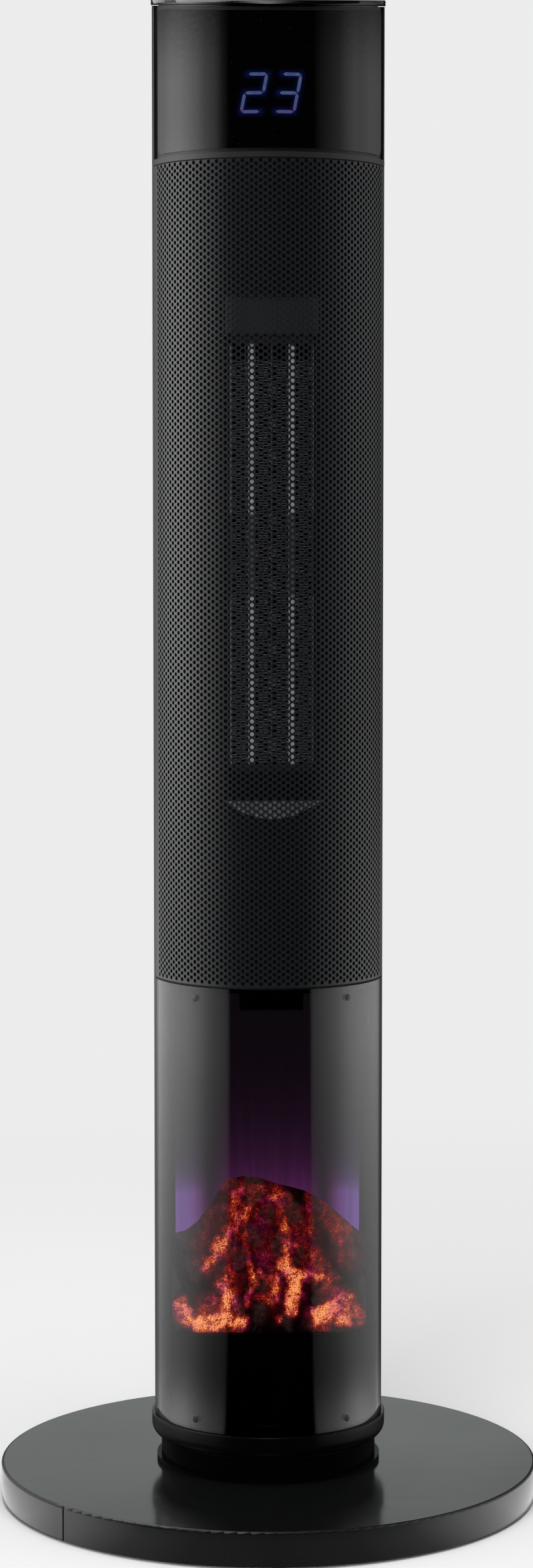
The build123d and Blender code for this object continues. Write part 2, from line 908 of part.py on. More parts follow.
def fin_stack(left, right):
    """One strip of fin folded to and fro between its left and right side, seen from the front."""
    count = int((bar_top - bar_bottom - 2 * fin_clearance) / fin_pitch)
    low = bar_bottom + fin_clearance + fin_thickness / 2
    with BuildSketch() as stack:
        with Locations(*[((left + right) / 2, low + step * fin_pitch) for step in range(count)]):
            Rectangle(right - left, fin_thickness)
        for step in range(count - 1):
            side = right - fin_thickness / 2 if step % 2 == 0 else left + fin_thickness / 2
            with Locations((side, low + (step + 0.5) * fin_pitch)):
                Rectangle(fin_thickness, fin_pitch + fin_thickness)
    return stack.sketch


bar_inside = bar_place - bar_width / 2
bar_outside = bar_place + bar_width / 2
strip_inside = element_half_width - seat_gap - side_strip_width
middle_side = side_strip_width / 2
fin_spans = [
    (-strip_inside, -bar_outside),
    (-bar_inside, -middle_side),
    (middle_side, bar_inside),
    (bar_outside, strip_inside),
]

with BuildPart() as ptc_fins:
    with BuildSketch(Plane.XZ.offset(element_front)):
        for left, right in fin_spans:
            add(fin_stack(left + bearing_gap, right - bearing_gap))
    extrude(amount=-element_depth)
write(ptc_fins, "ptc_fins")


with BuildPart() as thermal_cutout:
    with BuildSketch(Plane.XY.offset(cutout_middle - cutout_height / 2)):
        with Locations((-element_half_width - cutout_width / 2, -cap_front + cutout_depth / 2)):
            Rectangle(cutout_width, cutout_depth)
    extrude(amount=cutout_height)
write(thermal_cutout, "thermal_cutout")


# Fan decks, bush, scroll housing and motor round the upright fan
fan_centre = (0, fan_back_set)

with BuildPart() as fan_deck_lower:
    with BuildSketch(Plane.XY.offset(lower_deck_bottom)):
        add(flat_front_disc(liner_inner_radius - seat_gap, facet_back - seat_gap))
        with Locations(fan_centre):
            Circle(bush_radius + bearing_gap, mode=Mode.SUBTRACT)
        with Locations(wire_hole_place):
            Circle(wire_hole_radius, mode=Mode.SUBTRACT)
    extrude(amount=lower_deck_thickness)
write(fan_deck_lower, "fan_deck_lower")


with BuildPart() as fan_deck_upper:
    with BuildSketch(Plane.XY.offset(upper_deck_bottom)):
        add(flat_front_disc(liner_inner_radius - seat_gap, facet_back - seat_gap))
        with Locations(fan_centre):
            Circle(bush_radius + bearing_gap, mode=Mode.SUBTRACT)
        with Locations(wire_hole_place):
            Circle(wire_hole_radius, mode=Mode.SUBTRACT)
    extrude(amount=upper_deck_thickness)
    for plane in radial_planes(shell_radius - housing_screw_head_height):
        with BuildSketch(plane):
            Circle(housing_screw_radius + bearing_gap)
        extrude(amount=-housing_screw_length - seat_gap, mode=Mode.SUBTRACT)
write(fan_deck_upper, "fan_deck_upper")


with BuildPart() as lower_bearing:
    with BuildSketch(Plane.XY.offset(lower_deck_bottom - bush_flange_height)):
        with Locations(fan_centre):
            add(ring(fan_shaft_radius + bearing_gap, bush_flange_radius))
    extrude(amount=bush_flange_height)
    with BuildSketch(Plane.XY.offset(lower_deck_bottom)):
        with Locations(fan_centre):
            add(ring(fan_shaft_radius + bearing_gap, bush_radius))
    extrude(amount=lower_deck_thickness)
write(lower_bearing, "lower_bearing")


scroll_radius = fan_radius + scroll_gap
scroll_sweep = scroll_end_angle - scroll_start_angle
duct_back = cap_front - cap_depth - seat_gap

with BuildPart() as scroll_housing:
    with BuildSketch(Plane.XY.offset(outlet_bottom)):
        with BuildLine() as scroll_line:
            curve = CenterArc(fan_centre, scroll_radius, scroll_start_angle, scroll_sweep)
            Line(curve @ 1, (-duct_half_width, -duct_back))
        trace(scroll_line.line, line_width=scroll_wall)
        with Locations((duct_half_width, -duct_back + tongue_depth / 2)):
            SlotOverall(tongue_depth, scroll_wall, rotation=BACK)
    extrude(amount=outlet_top - outlet_bottom)
write(scroll_housing, "scroll_housing")


with BuildPart() as fan_motor:
    with BuildSketch(Plane.XY.offset(upper_deck_bottom + upper_deck_thickness)):
        with Locations(fan_centre):
            Circle(motor_foot_radius)
    extrude(amount=motor_foot_height)
    with BuildSketch(Plane.XY.offset(upper_deck_bottom + upper_deck_thickness)):
        with Locations(fan_centre):
            Circle(motor_radius)
    extrude(amount=motor_height)
    fillet(fan_motor.edges().group_by(Axis.Z)[-1], cover_edge_radius)
    with BuildSketch(Plane.XY.offset(upper_deck_bottom)):
        with Locations(fan_centre):
            Circle(fan_shaft_radius + bearing_gap)
    extrude(amount=fan_shaft_top + seat_gap - upper_deck_bottom, mode=Mode.SUBTRACT)
write(fan_motor, "fan_motor")


# Crossflow fan: curved blades between discs, on one shaft
def fan_blade():
    """One curved blade in plan, pointing outwards along X."""
    tip = fan_radius
    root = fan_radius - fan_blade_length
    belly = fan_blade_length / 4
    with BuildSketch() as blade:
        with BuildLine() as outline:
            front = ThreePointArc((root, 0), ((root + tip) / 2, belly), (tip, 0))
            rear = ThreePointArc(
                (root, -fan_blade_thickness),
                ((root + tip) / 2, belly - fan_blade_thickness),
                (tip, -fan_blade_thickness),
            )
            Line(front @ 0, rear @ 0)
            Line(front @ 1, rear @ 1)
        make_face(outline.edges())
    return blade.sketch


fan_span = fan_top - fan_bottom
disc_pitch = (fan_span - fan_disc_thickness) / (fan_disc_count - 1)
disc_levels = [fan_bottom + index * disc_pitch for index in range(fan_disc_count)]

with BuildPart() as fan_wheel:
    with BuildSketch(Plane(origin=(*fan_centre, fan_bottom))):
        with PolarLocations(0, fan_blade_count):
            add(fan_blade())
    extrude(amount=fan_span)
    for level in disc_levels:
        with BuildSketch(Plane(origin=(*fan_centre, level))):
            Circle(fan_radius + fan_blade_thickness / 2)
        extrude(amount=fan_disc_thickness)
    for level in (fan_bottom, fan_top - fan_hub_height):
        with BuildSketch(Plane(origin=(*fan_centre, level))):
            Circle(fan_hub_radius)
        extrude(amount=fan_hub_height)
    with BuildSketch(Plane(origin=(*fan_centre, fan_bottom))):
        Circle(fan_shaft_radius + bearing_gap)
    extrude(amount=fan_span, mode=Mode.SUBTRACT)
write(fan_wheel, "fan_wheel")


with BuildPart() as fan_shaft:
    with BuildSketch(Plane(origin=(*fan_centre, fan_shaft_bottom))):
        Circle(fan_shaft_radius)
    extrude(amount=fan_shaft_top - fan_shaft_bottom)
write(fan_shaft, "fan_shaft")


# Intake filter behind the rear slots
filter_outer = housing_inner_radius - bearing_gap

with BuildPart() as intake_filter:
    with BuildSketch(Plane.XY.offset(outlet_bottom + seat_gap)):
        add(ring_sector(filter_outer - filter_thickness, filter_outer, slot_half_angle + slot_step, BACK))
    extrude(amount=outlet_top - outlet_bottom - 2 * seat_gap)
write(intake_filter, "intake_filter")


# Power board on the partition deck, with its relays
with BuildPart() as power_board:
    with BuildSketch(Plane.XY.offset(frame_bottom)):
        with Locations((0, power_board_back)):
            Rectangle(power_board_width, board_thickness)
    extrude(amount=power_board_height)
    relay_back = power_board_back + board_thickness / 2
    for place in (-relay_spacing, 0, relay_spacing):
        with Locations((place, relay_back, frame_bottom + power_board_height / 2)):
            Box(*relay_size, align=(Align.CENTER, Align.MIN, Align.CENTER))
write(power_board, "power_board")


# Flame chamber: tray with a straight front, dark liner, ember bed, screen and lamps
tray_radius = glass_inner_radius - seat_gap
tray_top = collar_top + tray_top_rise

with BuildPart() as ember_tray:
    with BuildSketch(Plane.XY.offset(ledge_level)):
        add(flat_front_disc(tray_radius, tray_front))
    extrude(amount=tray_top - ledge_level)
    with BuildSketch(Plane.XY.offset(ledge_level)):
        add(flat_front_disc(tray_radius - tray_wall, tray_front - tray_wall))
    extrude(amount=tray_top - tray_wall - ledge_level, mode=Mode.SUBTRACT)
    with Locations((0, tray_radius, rocker_middle)):
        Box(
            rocker_width + 2 * (bezel_wall + rocker_gap + seat_gap),
            column_radius,
            rocker_height + 2 * (bezel_wall + rocker_gap + seat_gap),
            mode=Mode.SUBTRACT,
        )
write(ember_tray, "ember_tray")


with BuildPart() as chamber_liner:
    with BuildSketch(Plane.XY.offset(tray_top)):
        add(ring_sector(tray_radius - chamber_wall, tray_radius, front_half_angle + deck_rim, BACK))
    extrude(amount=partition_bottom - tray_top)
write(chamber_liner, "chamber_liner")


with BuildPart() as ember_bed:
    with BuildSketch(Plane.XZ.offset(bed_front)):
        with BuildLine():
            crest = [(x * bed_half_width, tray_top + z * bed_height) for x, z in bed_outline_shares]
            Spline(*crest)
            Polyline(crest[-1], (bed_half_width, tray_top), (-bed_half_width, tray_top), crest[0])
        make_face()
    extrude(amount=-bed_depth)
    with BuildSketch(Plane.YZ.offset(-bed_half_width)):
        with BuildLine():
            Polyline(
                (-bed_front, tray_top + bed_height / 4),
                (-bed_front, tray_top + bed_height + overrun),
                (-bed_front + bed_lean, tray_top + bed_height + overrun),
                close=True,
            )
        make_face()
    extrude(amount=2 * bed_half_width, mode=Mode.SUBTRACT)
write(ember_bed, "ember_bed")


with BuildPart() as flame_screen:
    with BuildSketch(Plane.XY.offset(tray_top)):
        with BuildLine() as screen_line:
            near = ThreePointArc(
                (-screen_half_width, screen_edge),
                (0, screen_edge + screen_bow),
                (screen_half_width, screen_edge),
            )
            far = ThreePointArc(
                (-screen_half_width, screen_edge + screen_thickness),
                (0, screen_edge + screen_bow + screen_thickness),
                (screen_half_width, screen_edge + screen_thickness),
            )
            Line(near @ 0, far @ 0)
            Line(near @ 1, far @ 1)
        make_face()
    extrude(amount=partition_bottom - tray_top)
write(flame_screen, "flame_screen")


with BuildPart() as lamp_box:
    with BuildSketch(Plane.XY.offset(partition_bottom - lamp_box_height)):
        with Locations((0, -lamp_box_front + lamp_box_depth / 2)):
            Rectangle(2 * lamp_box_half_width, lamp_box_depth)
    extrude(amount=lamp_box_height)
write(lamp_box, "lamp_box")


bed_back = bed_depth - bed_front

with BuildPart() as violet_led_strip:
    with BuildSketch(Plane.XY.offset(tray_top)):
        with Locations((0, bed_back + seat_gap + strip_depth / 2)):
            Rectangle(2 * strip_half_width, strip_depth)
    extrude(amount=strip_height)
write(violet_led_strip, "violet_led_strip")


# Flame rotor: reflector blades on a level shaft, between the two cheeks of its bracket
rotor_level = tray_top + rotor_height
rotor_left = -rotor_offset - rotor_half_length
rotor_right = -rotor_offset + rotor_half_length
left_cheek = rotor_left - rotor_gap - bracket_thickness
right_cheek = rotor_right + rotor_gap


def rotor_plane(x):
    """A plane that faces along X, with its origin on the rotor's shaft."""
    return Plane(origin=(x, rotor_back_set, rotor_level), x_dir=(0, 1, 0), z_dir=(1, 0, 0))


with BuildPart() as flame_rotor:
    with BuildSketch(rotor_plane(rotor_left)):
        with PolarLocations(0, rotor_blade_count):
            with Locations((rotor_radius / 2, 0)):
                Rectangle(rotor_radius, rotor_blade_thickness)
        Circle(2 * rotor_shaft_radius)
    extrude(amount=2 * rotor_half_length)
    with BuildSketch(rotor_plane(left_cheek)):
        Circle(rotor_shaft_radius)
    extrude(amount=right_cheek + bracket_thickness + flame_motor_length / 2 - left_cheek)
write(flame_rotor, "flame_rotor")


with BuildPart() as rotor_bracket:
    with BuildSketch(Plane.XY.offset(tray_top)):
        with Locations(((left_cheek + right_cheek + bracket_thickness) / 2, rotor_back_set)):
            Rectangle(right_cheek + bracket_thickness - left_cheek, bracket_depth)
    extrude(amount=bracket_thickness)
    for cheek in (left_cheek, right_cheek):
        with BuildSketch(Plane.XY.offset(tray_top)):
            with Locations((cheek + bracket_thickness / 2, rotor_back_set)):
                Rectangle(bracket_thickness, bracket_depth)
        extrude(amount=rotor_height + bracket_depth / 2)
    with BuildSketch(rotor_plane(left_cheek - overrun)):
        Circle(rotor_shaft_radius + bearing_gap)
    extrude(amount=right_cheek + bracket_thickness - left_cheek + 2 * overrun, mode=Mode.SUBTRACT)
write(rotor_bracket, "rotor_bracket")


with BuildPart() as flame_motor:
    with BuildSketch(rotor_plane(right_cheek + bracket_thickness)):
        Circle(flame_motor_radius)
    extrude(amount=flame_motor_length)
    with BuildSketch(rotor_plane(right_cheek + bracket_thickness)):
        Circle(rotor_shaft_radius + bearing_gap)
    extrude(amount=flame_motor_length / 2 + seat_gap, mode=Mode.SUBTRACT)
write(flame_motor, "flame_motor")


# Mains rocker in its bezel, low at the back
bezel_front = shell_radius - seat_gap
rocker_axis = bezel_front - rocker_depth / 2


def rear_box(width, height, front, depth):
    """A block that faces the back of the heater at the rocker's height."""
    with BuildPart() as block:
        with Locations((0, front, rocker_middle)):
            Box(width, depth, height, align=(Align.CENTER, Align.MAX, Align.CENTER))
    return block.part


with BuildPart() as switch_bezel:
    opening_width = rocker_width + 2 * rocker_gap
    opening_height = rocker_height + 2 * rocker_gap
    add(rear_box(opening_width + 2 * bezel_wall, opening_height + 2 * bezel_wall, bezel_front, bezel_depth))
    add(rear_box(opening_width, opening_height, bezel_front, bezel_depth - bezel_wall), mode=Mode.SUBTRACT)
    with BuildSketch(Plane.YZ.offset(-column_radius)):
        with Locations((rocker_axis, rocker_middle)):
            Circle(rocker_pivot_radius + bearing_gap)
    extrude(amount=2 * column_radius, mode=Mode.SUBTRACT)
write(switch_bezel, "switch_bezel")


with BuildPart() as mains_rocker:
    with BuildSketch(Plane.YZ.offset(-rocker_width / 2)):
        with BuildLine():
            Polyline(
                (bezel_front - rocker_rim, rocker_middle - rocker_height / 2),
                (bezel_front, rocker_middle - rocker_height / 2),
                (bezel_front - rocker_rim / 2, rocker_middle),
                (bezel_front, rocker_middle + rocker_height / 2),
                (bezel_front - rocker_rim, rocker_middle + rocker_height / 2),
                (rocker_axis - rocker_rim / 2, rocker_middle + rocker_height / 4),
                (rocker_axis - rocker_rim / 2, rocker_middle - rocker_height / 4),
                close=True,
            )
        make_face()
    extrude(amount=rocker_width)
    with BuildSketch(Plane.YZ.offset(-rocker_width / 2 - rocker_gap - bezel_wall / 2)):
        with Locations((rocker_axis, rocker_middle)):
            Circle(rocker_pivot_radius)
    extrude(amount=rocker_width + 2 * rocker_gap + bezel_wall)
write(mains_rocker, "mains_rocker")


# Trim ring between the grille and the head
with BuildPart() as trim_ring:
    with BuildSketch(Plane.XY.offset(grille_top)):
        add(ring_sector(liner_inner_radius, column_radius + trim_proud, sheet_half_angle, FRONT))
    extrude(amount=trim_height)
write(trim_ring, "trim_ring")


# Head frame: a floor, a front wall up to the cap and side ribs that close the reveal
frame_outer = column_radius - panel_thickness + panel_proud - seat_gap
head_under = cap_under.offset(-seat_gap)

with BuildPart() as head_frame:
    with BuildSketch(Plane.XY.offset(trim_top)):
        Circle(liner_inner_radius - seat_gap)
        add(ring_sector(liner_inner_radius - overrun, frame_outer, sheet_half_angle, FRONT))
        with Locations(wire_hole_place):
            Circle(wire_hole_radius, mode=Mode.SUBTRACT)
    extrude(amount=head_floor)
    with BuildSketch(Plane.XY.offset(trim_top)):
        add(ring_sector(frame_outer - head_wall, frame_outer, sheet_half_angle, FRONT))
    extrude(amount=tall - trim_top)
    with BuildSketch(Plane.XZ.offset(column_radius - display_depth - head_wall)):
        with Locations((0, display_middle)):
            Rectangle(display_width - 2 * head_wall, display_height - 2 * head_wall)
    extrude(amount=display_depth + head_wall, mode=Mode.SUBTRACT)
    split(bisect_by=head_under, keep=Keep.BOTTOM)
write(head_frame, "head_frame")


with BuildPart() as head_panel:
    with BuildSketch(Plane.XY.offset(trim_top + panel_gap)):
        add(ring_sector(frame_outer + seat_gap, column_radius + panel_proud, panel_half_angle, FRONT))
    extrude(amount=tall - trim_top)
    split(bisect_by=head_under.offset(-panel_gap), keep=Keep.BOTTOM)
    corners = head_panel.edges().filter_by(lambda edge: edge.length < panel_thickness + bearing_gap)
    fillet(corners, panel_corner_radius)
write(head_panel, "head_panel")


display_front = sqrt((frame_outer - head_wall) ** 2 - (display_width / 2) ** 2) - seat_gap

with BuildPart() as display_module:
    with Locations((0, -display_front, display_middle)):
        Box(display_width, display_depth, display_height, align=(Align.CENTER, Align.MIN, Align.CENTER))
write(display_module, "display_module")


# Top cap: a tilted disc with a sunk control field, a skirt inside the shells and posts for the control board
def button_places():
    """Where the buttons stand on the cap, as places on its tilted plane."""
    middle = (len(button_names) - 1) / 2
    angles = [radians(FRONT + (index - middle) * button_step_angle) for index in range(len(button_names))]
    return [(button_circle_radius * cos(angle), button_circle_radius * sin(angle)) for angle in angles]


field_radius = cap_radius - cap_rim
skirt_outer = frame_outer - head_wall - seat_gap
board_top = -cap_thickness - control_board_drop
post_side = control_board_width / 2 - 2 * cap_post_radius
post_row = control_board_depth / 2 - 2 * cap_post_radius
post_places = [
    (side * post_side, row * post_row - control_board_forward)
    for side in (-1, 1)
    for row in (-1, 1)
]

with BuildPart() as top_cap:
    with BuildSketch(Plane.XY.offset(cap_middle - column_radius)):
        Circle(cap_radius)
    extrude(amount=2 * column_radius)
    split(bisect_by=cap_plane, keep=Keep.BOTTOM)
    split(bisect_by=cap_under, keep=Keep.TOP)
    fillet(top_cap.edges().group_by(Axis.Z)[-1], cap_edge_radius)
    with BuildSketch(cap_plane):
        Circle(field_radius)
    extrude(amount=-cap_recess, mode=Mode.SUBTRACT)
    with BuildSketch(cap_under):
        add(ring(skirt_outer - cap_skirt_wall, skirt_outer))
    extrude(amount=-cap_skirt_height)
    with BuildSketch(cap_plane):
        with Locations(*button_places()):
            Circle(button_radius + button_gap)
    extrude(amount=-cap_thickness, mode=Mode.SUBTRACT)
    with BuildSketch(cap_under):
        with Locations(*post_places):
            Circle(cap_post_radius)
    extrude(amount=-control_board_drop)
write(top_cap, "top_cap")


with BuildPart() as control_board:
    with BuildSketch(cap_plane.offset(board_top)):
        with Locations((0, -control_board_forward)):
            Rectangle(control_board_width, control_board_depth)
    extrude(amount=-board_thickness)
    with BuildSketch(cap_plane.offset(board_top)):
        with Locations(*button_places()):
            Rectangle(tact_size, tact_size)
    extrude(amount=tact_height)
write(control_board, "control_board")


# Top buttons, each a round cap with a flange under the field and a stem down to its switch
button_travel = 0.8
flange_top = -cap_thickness - bearing_gap
stem_bottom = board_top + tact_height + button_travel + bearing_gap

for button_name, place in zip(button_names, button_places()):
    with BuildPart() as button:
        with BuildSketch(cap_plane.offset(flange_top)):
            with Locations(place):
                Circle(button_radius)
        extrude(amount=-flange_top)
        fillet(button.edges().group_by(Axis.Z)[-1], cap_edge_radius)
        with BuildSketch(cap_plane.offset(flange_top)):
            with Locations(place):
                Circle(button_radius + button_flange)
        extrude(amount=-button_flange_height)
        with BuildSketch(cap_plane.offset(stem_bottom)):
            with Locations(place):
                Circle(button_stem_radius)
        extrude(amount=flange_top - stem_bottom)
    write(button, button_name)


# Grip cup: the pocket for the fingers at the back of the head, its rim following the round of the housing
grip_floor = sqrt(shell_radius**2 - (grip_width / 2) ** 2) - grip_depth

with BuildPart() as grip_cup:
    with BuildSketch(Plane.XY.offset(grip_middle - grip_height / 2)):
        Circle(shell_radius)
        with Locations((0, grip_floor + column_radius / 2)):
            Rectangle(grip_width, column_radius, mode=Mode.INTERSECT)
    extrude(amount=grip_height)
    with Locations((0, grip_floor + grip_wall, grip_middle)):
        Box(
            grip_width - 2 * grip_wall,
            column_radius,
            grip_height - 2 * grip_wall,
            align=(Align.CENTER, Align.MIN, Align.CENTER),
            mode=Mode.SUBTRACT,
        )
write(grip_cup, "grip_cup")
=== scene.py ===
# %% [markdown]
# # A tower fan heater with a flame window
# The measured solids come first, as a frame that nothing here moves. Each step then gives one surface its finish, or
# puts a finer piece in the place of a coarse solid. Everything is in metres, with the front of the heater towards -Y.

from math import atan, cos, degrees, pi, radians, sin, sqrt

import bmesh
import bpy
import numpy as np
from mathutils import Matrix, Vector, noise


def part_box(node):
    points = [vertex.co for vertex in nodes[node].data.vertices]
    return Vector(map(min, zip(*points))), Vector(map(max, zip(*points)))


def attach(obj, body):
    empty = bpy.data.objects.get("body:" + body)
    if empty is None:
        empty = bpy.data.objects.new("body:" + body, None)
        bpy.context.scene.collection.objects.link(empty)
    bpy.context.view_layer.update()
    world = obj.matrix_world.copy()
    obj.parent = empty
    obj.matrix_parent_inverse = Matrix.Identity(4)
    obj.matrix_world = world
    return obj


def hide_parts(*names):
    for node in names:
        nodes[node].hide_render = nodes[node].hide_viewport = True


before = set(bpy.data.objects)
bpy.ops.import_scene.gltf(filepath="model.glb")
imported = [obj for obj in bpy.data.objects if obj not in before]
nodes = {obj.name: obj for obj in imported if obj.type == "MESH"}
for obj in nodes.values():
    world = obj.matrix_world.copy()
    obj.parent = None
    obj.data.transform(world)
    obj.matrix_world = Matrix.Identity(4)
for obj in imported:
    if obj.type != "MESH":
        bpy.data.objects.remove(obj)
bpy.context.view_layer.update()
scene = bpy.context.scene
mm = 0.001

# %% [markdown]
# ## Camera
# A product photograph of a tall thing is taken with a long lens from a little over two metres, so that its sides stay
# parallel. The camera could be aimed by a constraint at an empty. Plain numbers for its place and tilt were chosen
# instead, because they say at once where the photographer stood: just left of the front and looking slightly down.

# %% Camera
camera_distance = 2.0105
camera_height = 0.5729
camera_pitch = radians(4.54)
camera_turn = radians(2)
picture_height = 2354
focal_length = 5275
axis_offset = 2.5

lens = bpy.data.cameras.new("front_view")
lens.sensor_width = 36
lens.lens = focal_length / picture_height * lens.sensor_width
camera = bpy.data.objects.new("front_view", lens)
camera.location = (-camera_distance * sin(camera_turn), -camera_distance * cos(camera_turn), camera_height)
camera.rotation_euler = (pi / 2 - camera_pitch, 0, atan(axis_offset / focal_length) - camera_turn)
scene.collection.objects.link(camera)
scene.camera = camera
scene.view_settings.view_transform = "Standard"
print("lens in mm:", round(lens.lens, 1))

# %% [markdown]
# ## Shader expressions
# A finish is a small graph of nodes. Linking each Math node by hand hides the idea behind the wiring, so a node's
# output is wrapped in a class that knows the operators: a mask is then written as 1 - mask, as on paper. Any other
# node comes from one method that takes its type, its settings and what goes into its sockets.


# %% A node output in an expression
class Output:
    """A node's output that can be used with + - * / and in other nodes' sockets."""

    def __init__(self, graph, socket):
        self.graph = graph
        self.socket = socket

    def maths(self, operation, *terms):
        return self.graph.node("ShaderNodeMath", {"operation": operation}, dict(enumerate(terms)))

    def __add__(self, other):
        return self.maths("ADD", self, other)

    def __radd__(self, other):
        return self.maths("ADD", other, self)

    def __sub__(self, other):
        return self.maths("SUBTRACT", self, other)

    def __rsub__(self, other):
        return self.maths("SUBTRACT", other, self)

    def __mul__(self, other):
        return self.maths("MULTIPLY", self, other)

    def __rmul__(self, other):
        return self.maths("MULTIPLY", other, self)

    def __truediv__(self, other):
        return self.maths("DIVIDE", self, other)

    def __rtruediv__(self, other):
        return self.maths("DIVIDE", other, self)

    def __pow__(self, other):
        return self.maths("POWER", self, other)

    def __rpow__(self, other):
        return self.maths("POWER", other, self)

    def size(self):
        return self.maths("ABSOLUTE", self)

    def largest(self, other):
        return self.maths("MAXIMUM", self, other)

    def least(self, other):
        return self.maths("MINIMUM", self, other)

    def sine(self):
        return self.maths("SINE", self)

    def turn_from(self, other):
        """The angle in radians, all round the circle, whose tangent is this value over the other."""
        return self.maths("ARCTAN2", self, other)

    def bell(self, spread):
        """1 where the value is zero, falling off smoothly to nothing at about two spreads."""
        return 2.718 ** (0 - self * self * (1 / spread**2))

    def rise(self, low, high):
        """A smooth step from 0 at low to 1 at high, where low may be the larger one."""
        return self.graph.node(
            "ShaderNodeMapRange",
            {"interpolation_type": "SMOOTHSTEP"},
            {"Value": self, "From Min": low, "From Max": high},
        )


# %% A graph of nodes
def named(sockets, key):
    """The enabled socket with that index, identifier or name."""
    if isinstance(key, int):
        return sockets[key]
    found = [s for s in sockets if key == s.identifier] or [s for s in sockets if key == s.name]
    return ([s for s in found if s.enabled] or found)[0]


class Graph:
    """The nodes of a material or of the world."""

    def __init__(self, owner):
        owner.use_nodes = True
        self.owner = owner
        self.tree = owner.node_tree
        self.tree.nodes.clear()

    def node(self, kind, settings=None, sockets=None, output=0):
        made = self.tree.nodes.new(kind)
        for key, value in (settings or {}).items():
            if key == "stops":
                while len(made.color_ramp.elements) < len(value):
                    made.color_ramp.elements.new(1)
                for element, (place, colour) in zip(made.color_ramp.elements, value):
                    element.position = place
                    element.color = colour
            else:
                setattr(made, key, value)
        for key, value in (sockets or {}).items():
            socket = named(made.inputs, key)
            if isinstance(value, Output):
                self.tree.links.new(value.socket, socket)
            else:
                socket.default_value = value
        return Output(self, named(made.outputs, output))

    def place(self):
        """The point on the surface, in metres, in the heater's own frame."""
        return self.node("ShaderNodeTexCoord", output="Object")

    def axes(self):
        """The point's x, y and z, each by itself."""
        split = self.node("ShaderNodeSeparateXYZ", sockets={"Vector": self.place()})
        return [Output(self, split.socket.node.outputs[index]) for index in range(3)]

    def stretched(self, x, y, z):
        """The point with each axis scaled, for a texture that runs one way."""
        return self.vector("MULTIPLY", self.place(), (x, y, z))

    def noise(self, scale, detail=2, place=None, roughness=0.5):
        sockets = {"Vector": place or self.place(), "Scale": scale, "Detail": detail, "Roughness": roughness}
        return self.node("ShaderNodeTexNoise", sockets=sockets)

    def mix(self, share, first, second):
        """A colour between two colours."""
        sockets = {"Factor_Float": share, "A_Color": first, "B_Color": second}
        return self.node("ShaderNodeMix", {"data_type": "RGBA"}, sockets, "Result_Color")

    def bump(self, height, strength, depth, normal=None):
        sockets = {"Height": height, "Strength": strength, "Distance": depth}
        if normal:
            sockets["Normal"] = normal
        return self.node("ShaderNodeBump", sockets=sockets)

    def vector(self, operation, *terms):
        return self.node("ShaderNodeVectorMath", {"operation": operation}, dict(enumerate(terms)))

    def finish(self, shader):
        kind = "ShaderNodeOutputWorld" if isinstance(self.owner, bpy.types.World) else "ShaderNodeOutputMaterial"
        last = self.tree.nodes.new(kind)
        self.tree.links.new(shader.socket, last.inputs["Surface"])


def colour(red, green, blue):
    return (red, green, blue, 1)


def grey(level):
    return (level, level, level, 1)


def material(name, build):
    """A material whose Principled sockets are what build(graph) returns."""
    made = bpy.data.materials.new(name)
    graph = Graph(made)
    graph.finish(graph.node("ShaderNodeBsdfPrincipled", sockets=build(graph)))
    return made


print("operators ready:", [name for name in vars(Output) if name.startswith("__r")])

# %% [markdown]
# ## Floor, background and light
# Gloss black shows nothing of its own, only what stands round it, so the studio is the picture. A photographer puts a
# tall soft panel on each side and keeps the sector behind the camera dark: the round column then shows a black middle
# with a grey band on each side. The panels here are curved sheets whose light grows from the front edge to the side,
# which a plain area lamp can't do. The dark card is only seen by gloss, so it darkens no other view.

# %% The world
pale = colour(0.84, 0.84, 0.85)
room_light = 0.42

world = bpy.data.worlds.new("studio")
scene.world = world
graph = Graph(world)


def ray(kind):
    return graph.node("ShaderNodeLightPath", output=kind)


background_seen = ray("Is Camera Ray").largest(ray("Is Glossy Ray")).largest(ray("Is Transmission Ray"))
shade = graph.mix(background_seen, grey(room_light), pale)
graph.finish(graph.node("ShaderNodeBackground", sockets={"Color": shade, "Strength": 1}))
print("light of the room:", room_light, "background:", pale[:3])


# %% Meshes from points and faces
def piece(name, points, faces, finish, sharp=35):
    """A mesh object whose faces look outwards, smooth but for edges that turn by more than an angle in degrees."""
    mesh = bpy.data.meshes.new(name)
    mesh.from_pydata([tuple(p) for p in points], [], [tuple(f) for f in faces])
    mesh.validate()
    outward = bmesh.new()
    outward.from_mesh(mesh)
    bmesh.ops.recalc_face_normals(outward, faces=outward.faces)
    outward.to_mesh(mesh)
    outward.free()
    mesh.materials.append(finish)
    mesh.polygons.foreach_set("use_smooth", [True] * len(mesh.polygons))
    mesh.set_sharp_from_angle(angle=radians(sharp))
    made = bpy.data.objects.new(name, mesh)
    scene.collection.objects.link(made)
    return made


def grid_faces(rows, columns):
    """The quads of a grid of points that is stored row by row."""
    return [
        (row * columns + column, row * columns + column + 1, (row + 1) * columns + column + 1, (row + 1) * columns + column)
        for row in range(rows - 1)
        for column in range(columns - 1)
    ]


def curved_sheet(name, radius, start, end, low, high, finish):
    """An upright sheet bent round the heater from one angle to another, in degrees from the front."""
    steps = 48
    angles = np.radians(np.linspace(start, end, steps))
    points = [(radius * sin(a), -radius * cos(a), z) for z in (low, high) for a in angles]
    return piece(name, points, grid_faces(2, steps), finish)


# %% Floor
floor_radius = 7
floor_blend_start = 0.4
floor_blend_end = 1.4


def emission(graph, shade, strength=1):
    return graph.node("ShaderNodeEmission", sockets={"Color": shade, "Strength": strength})


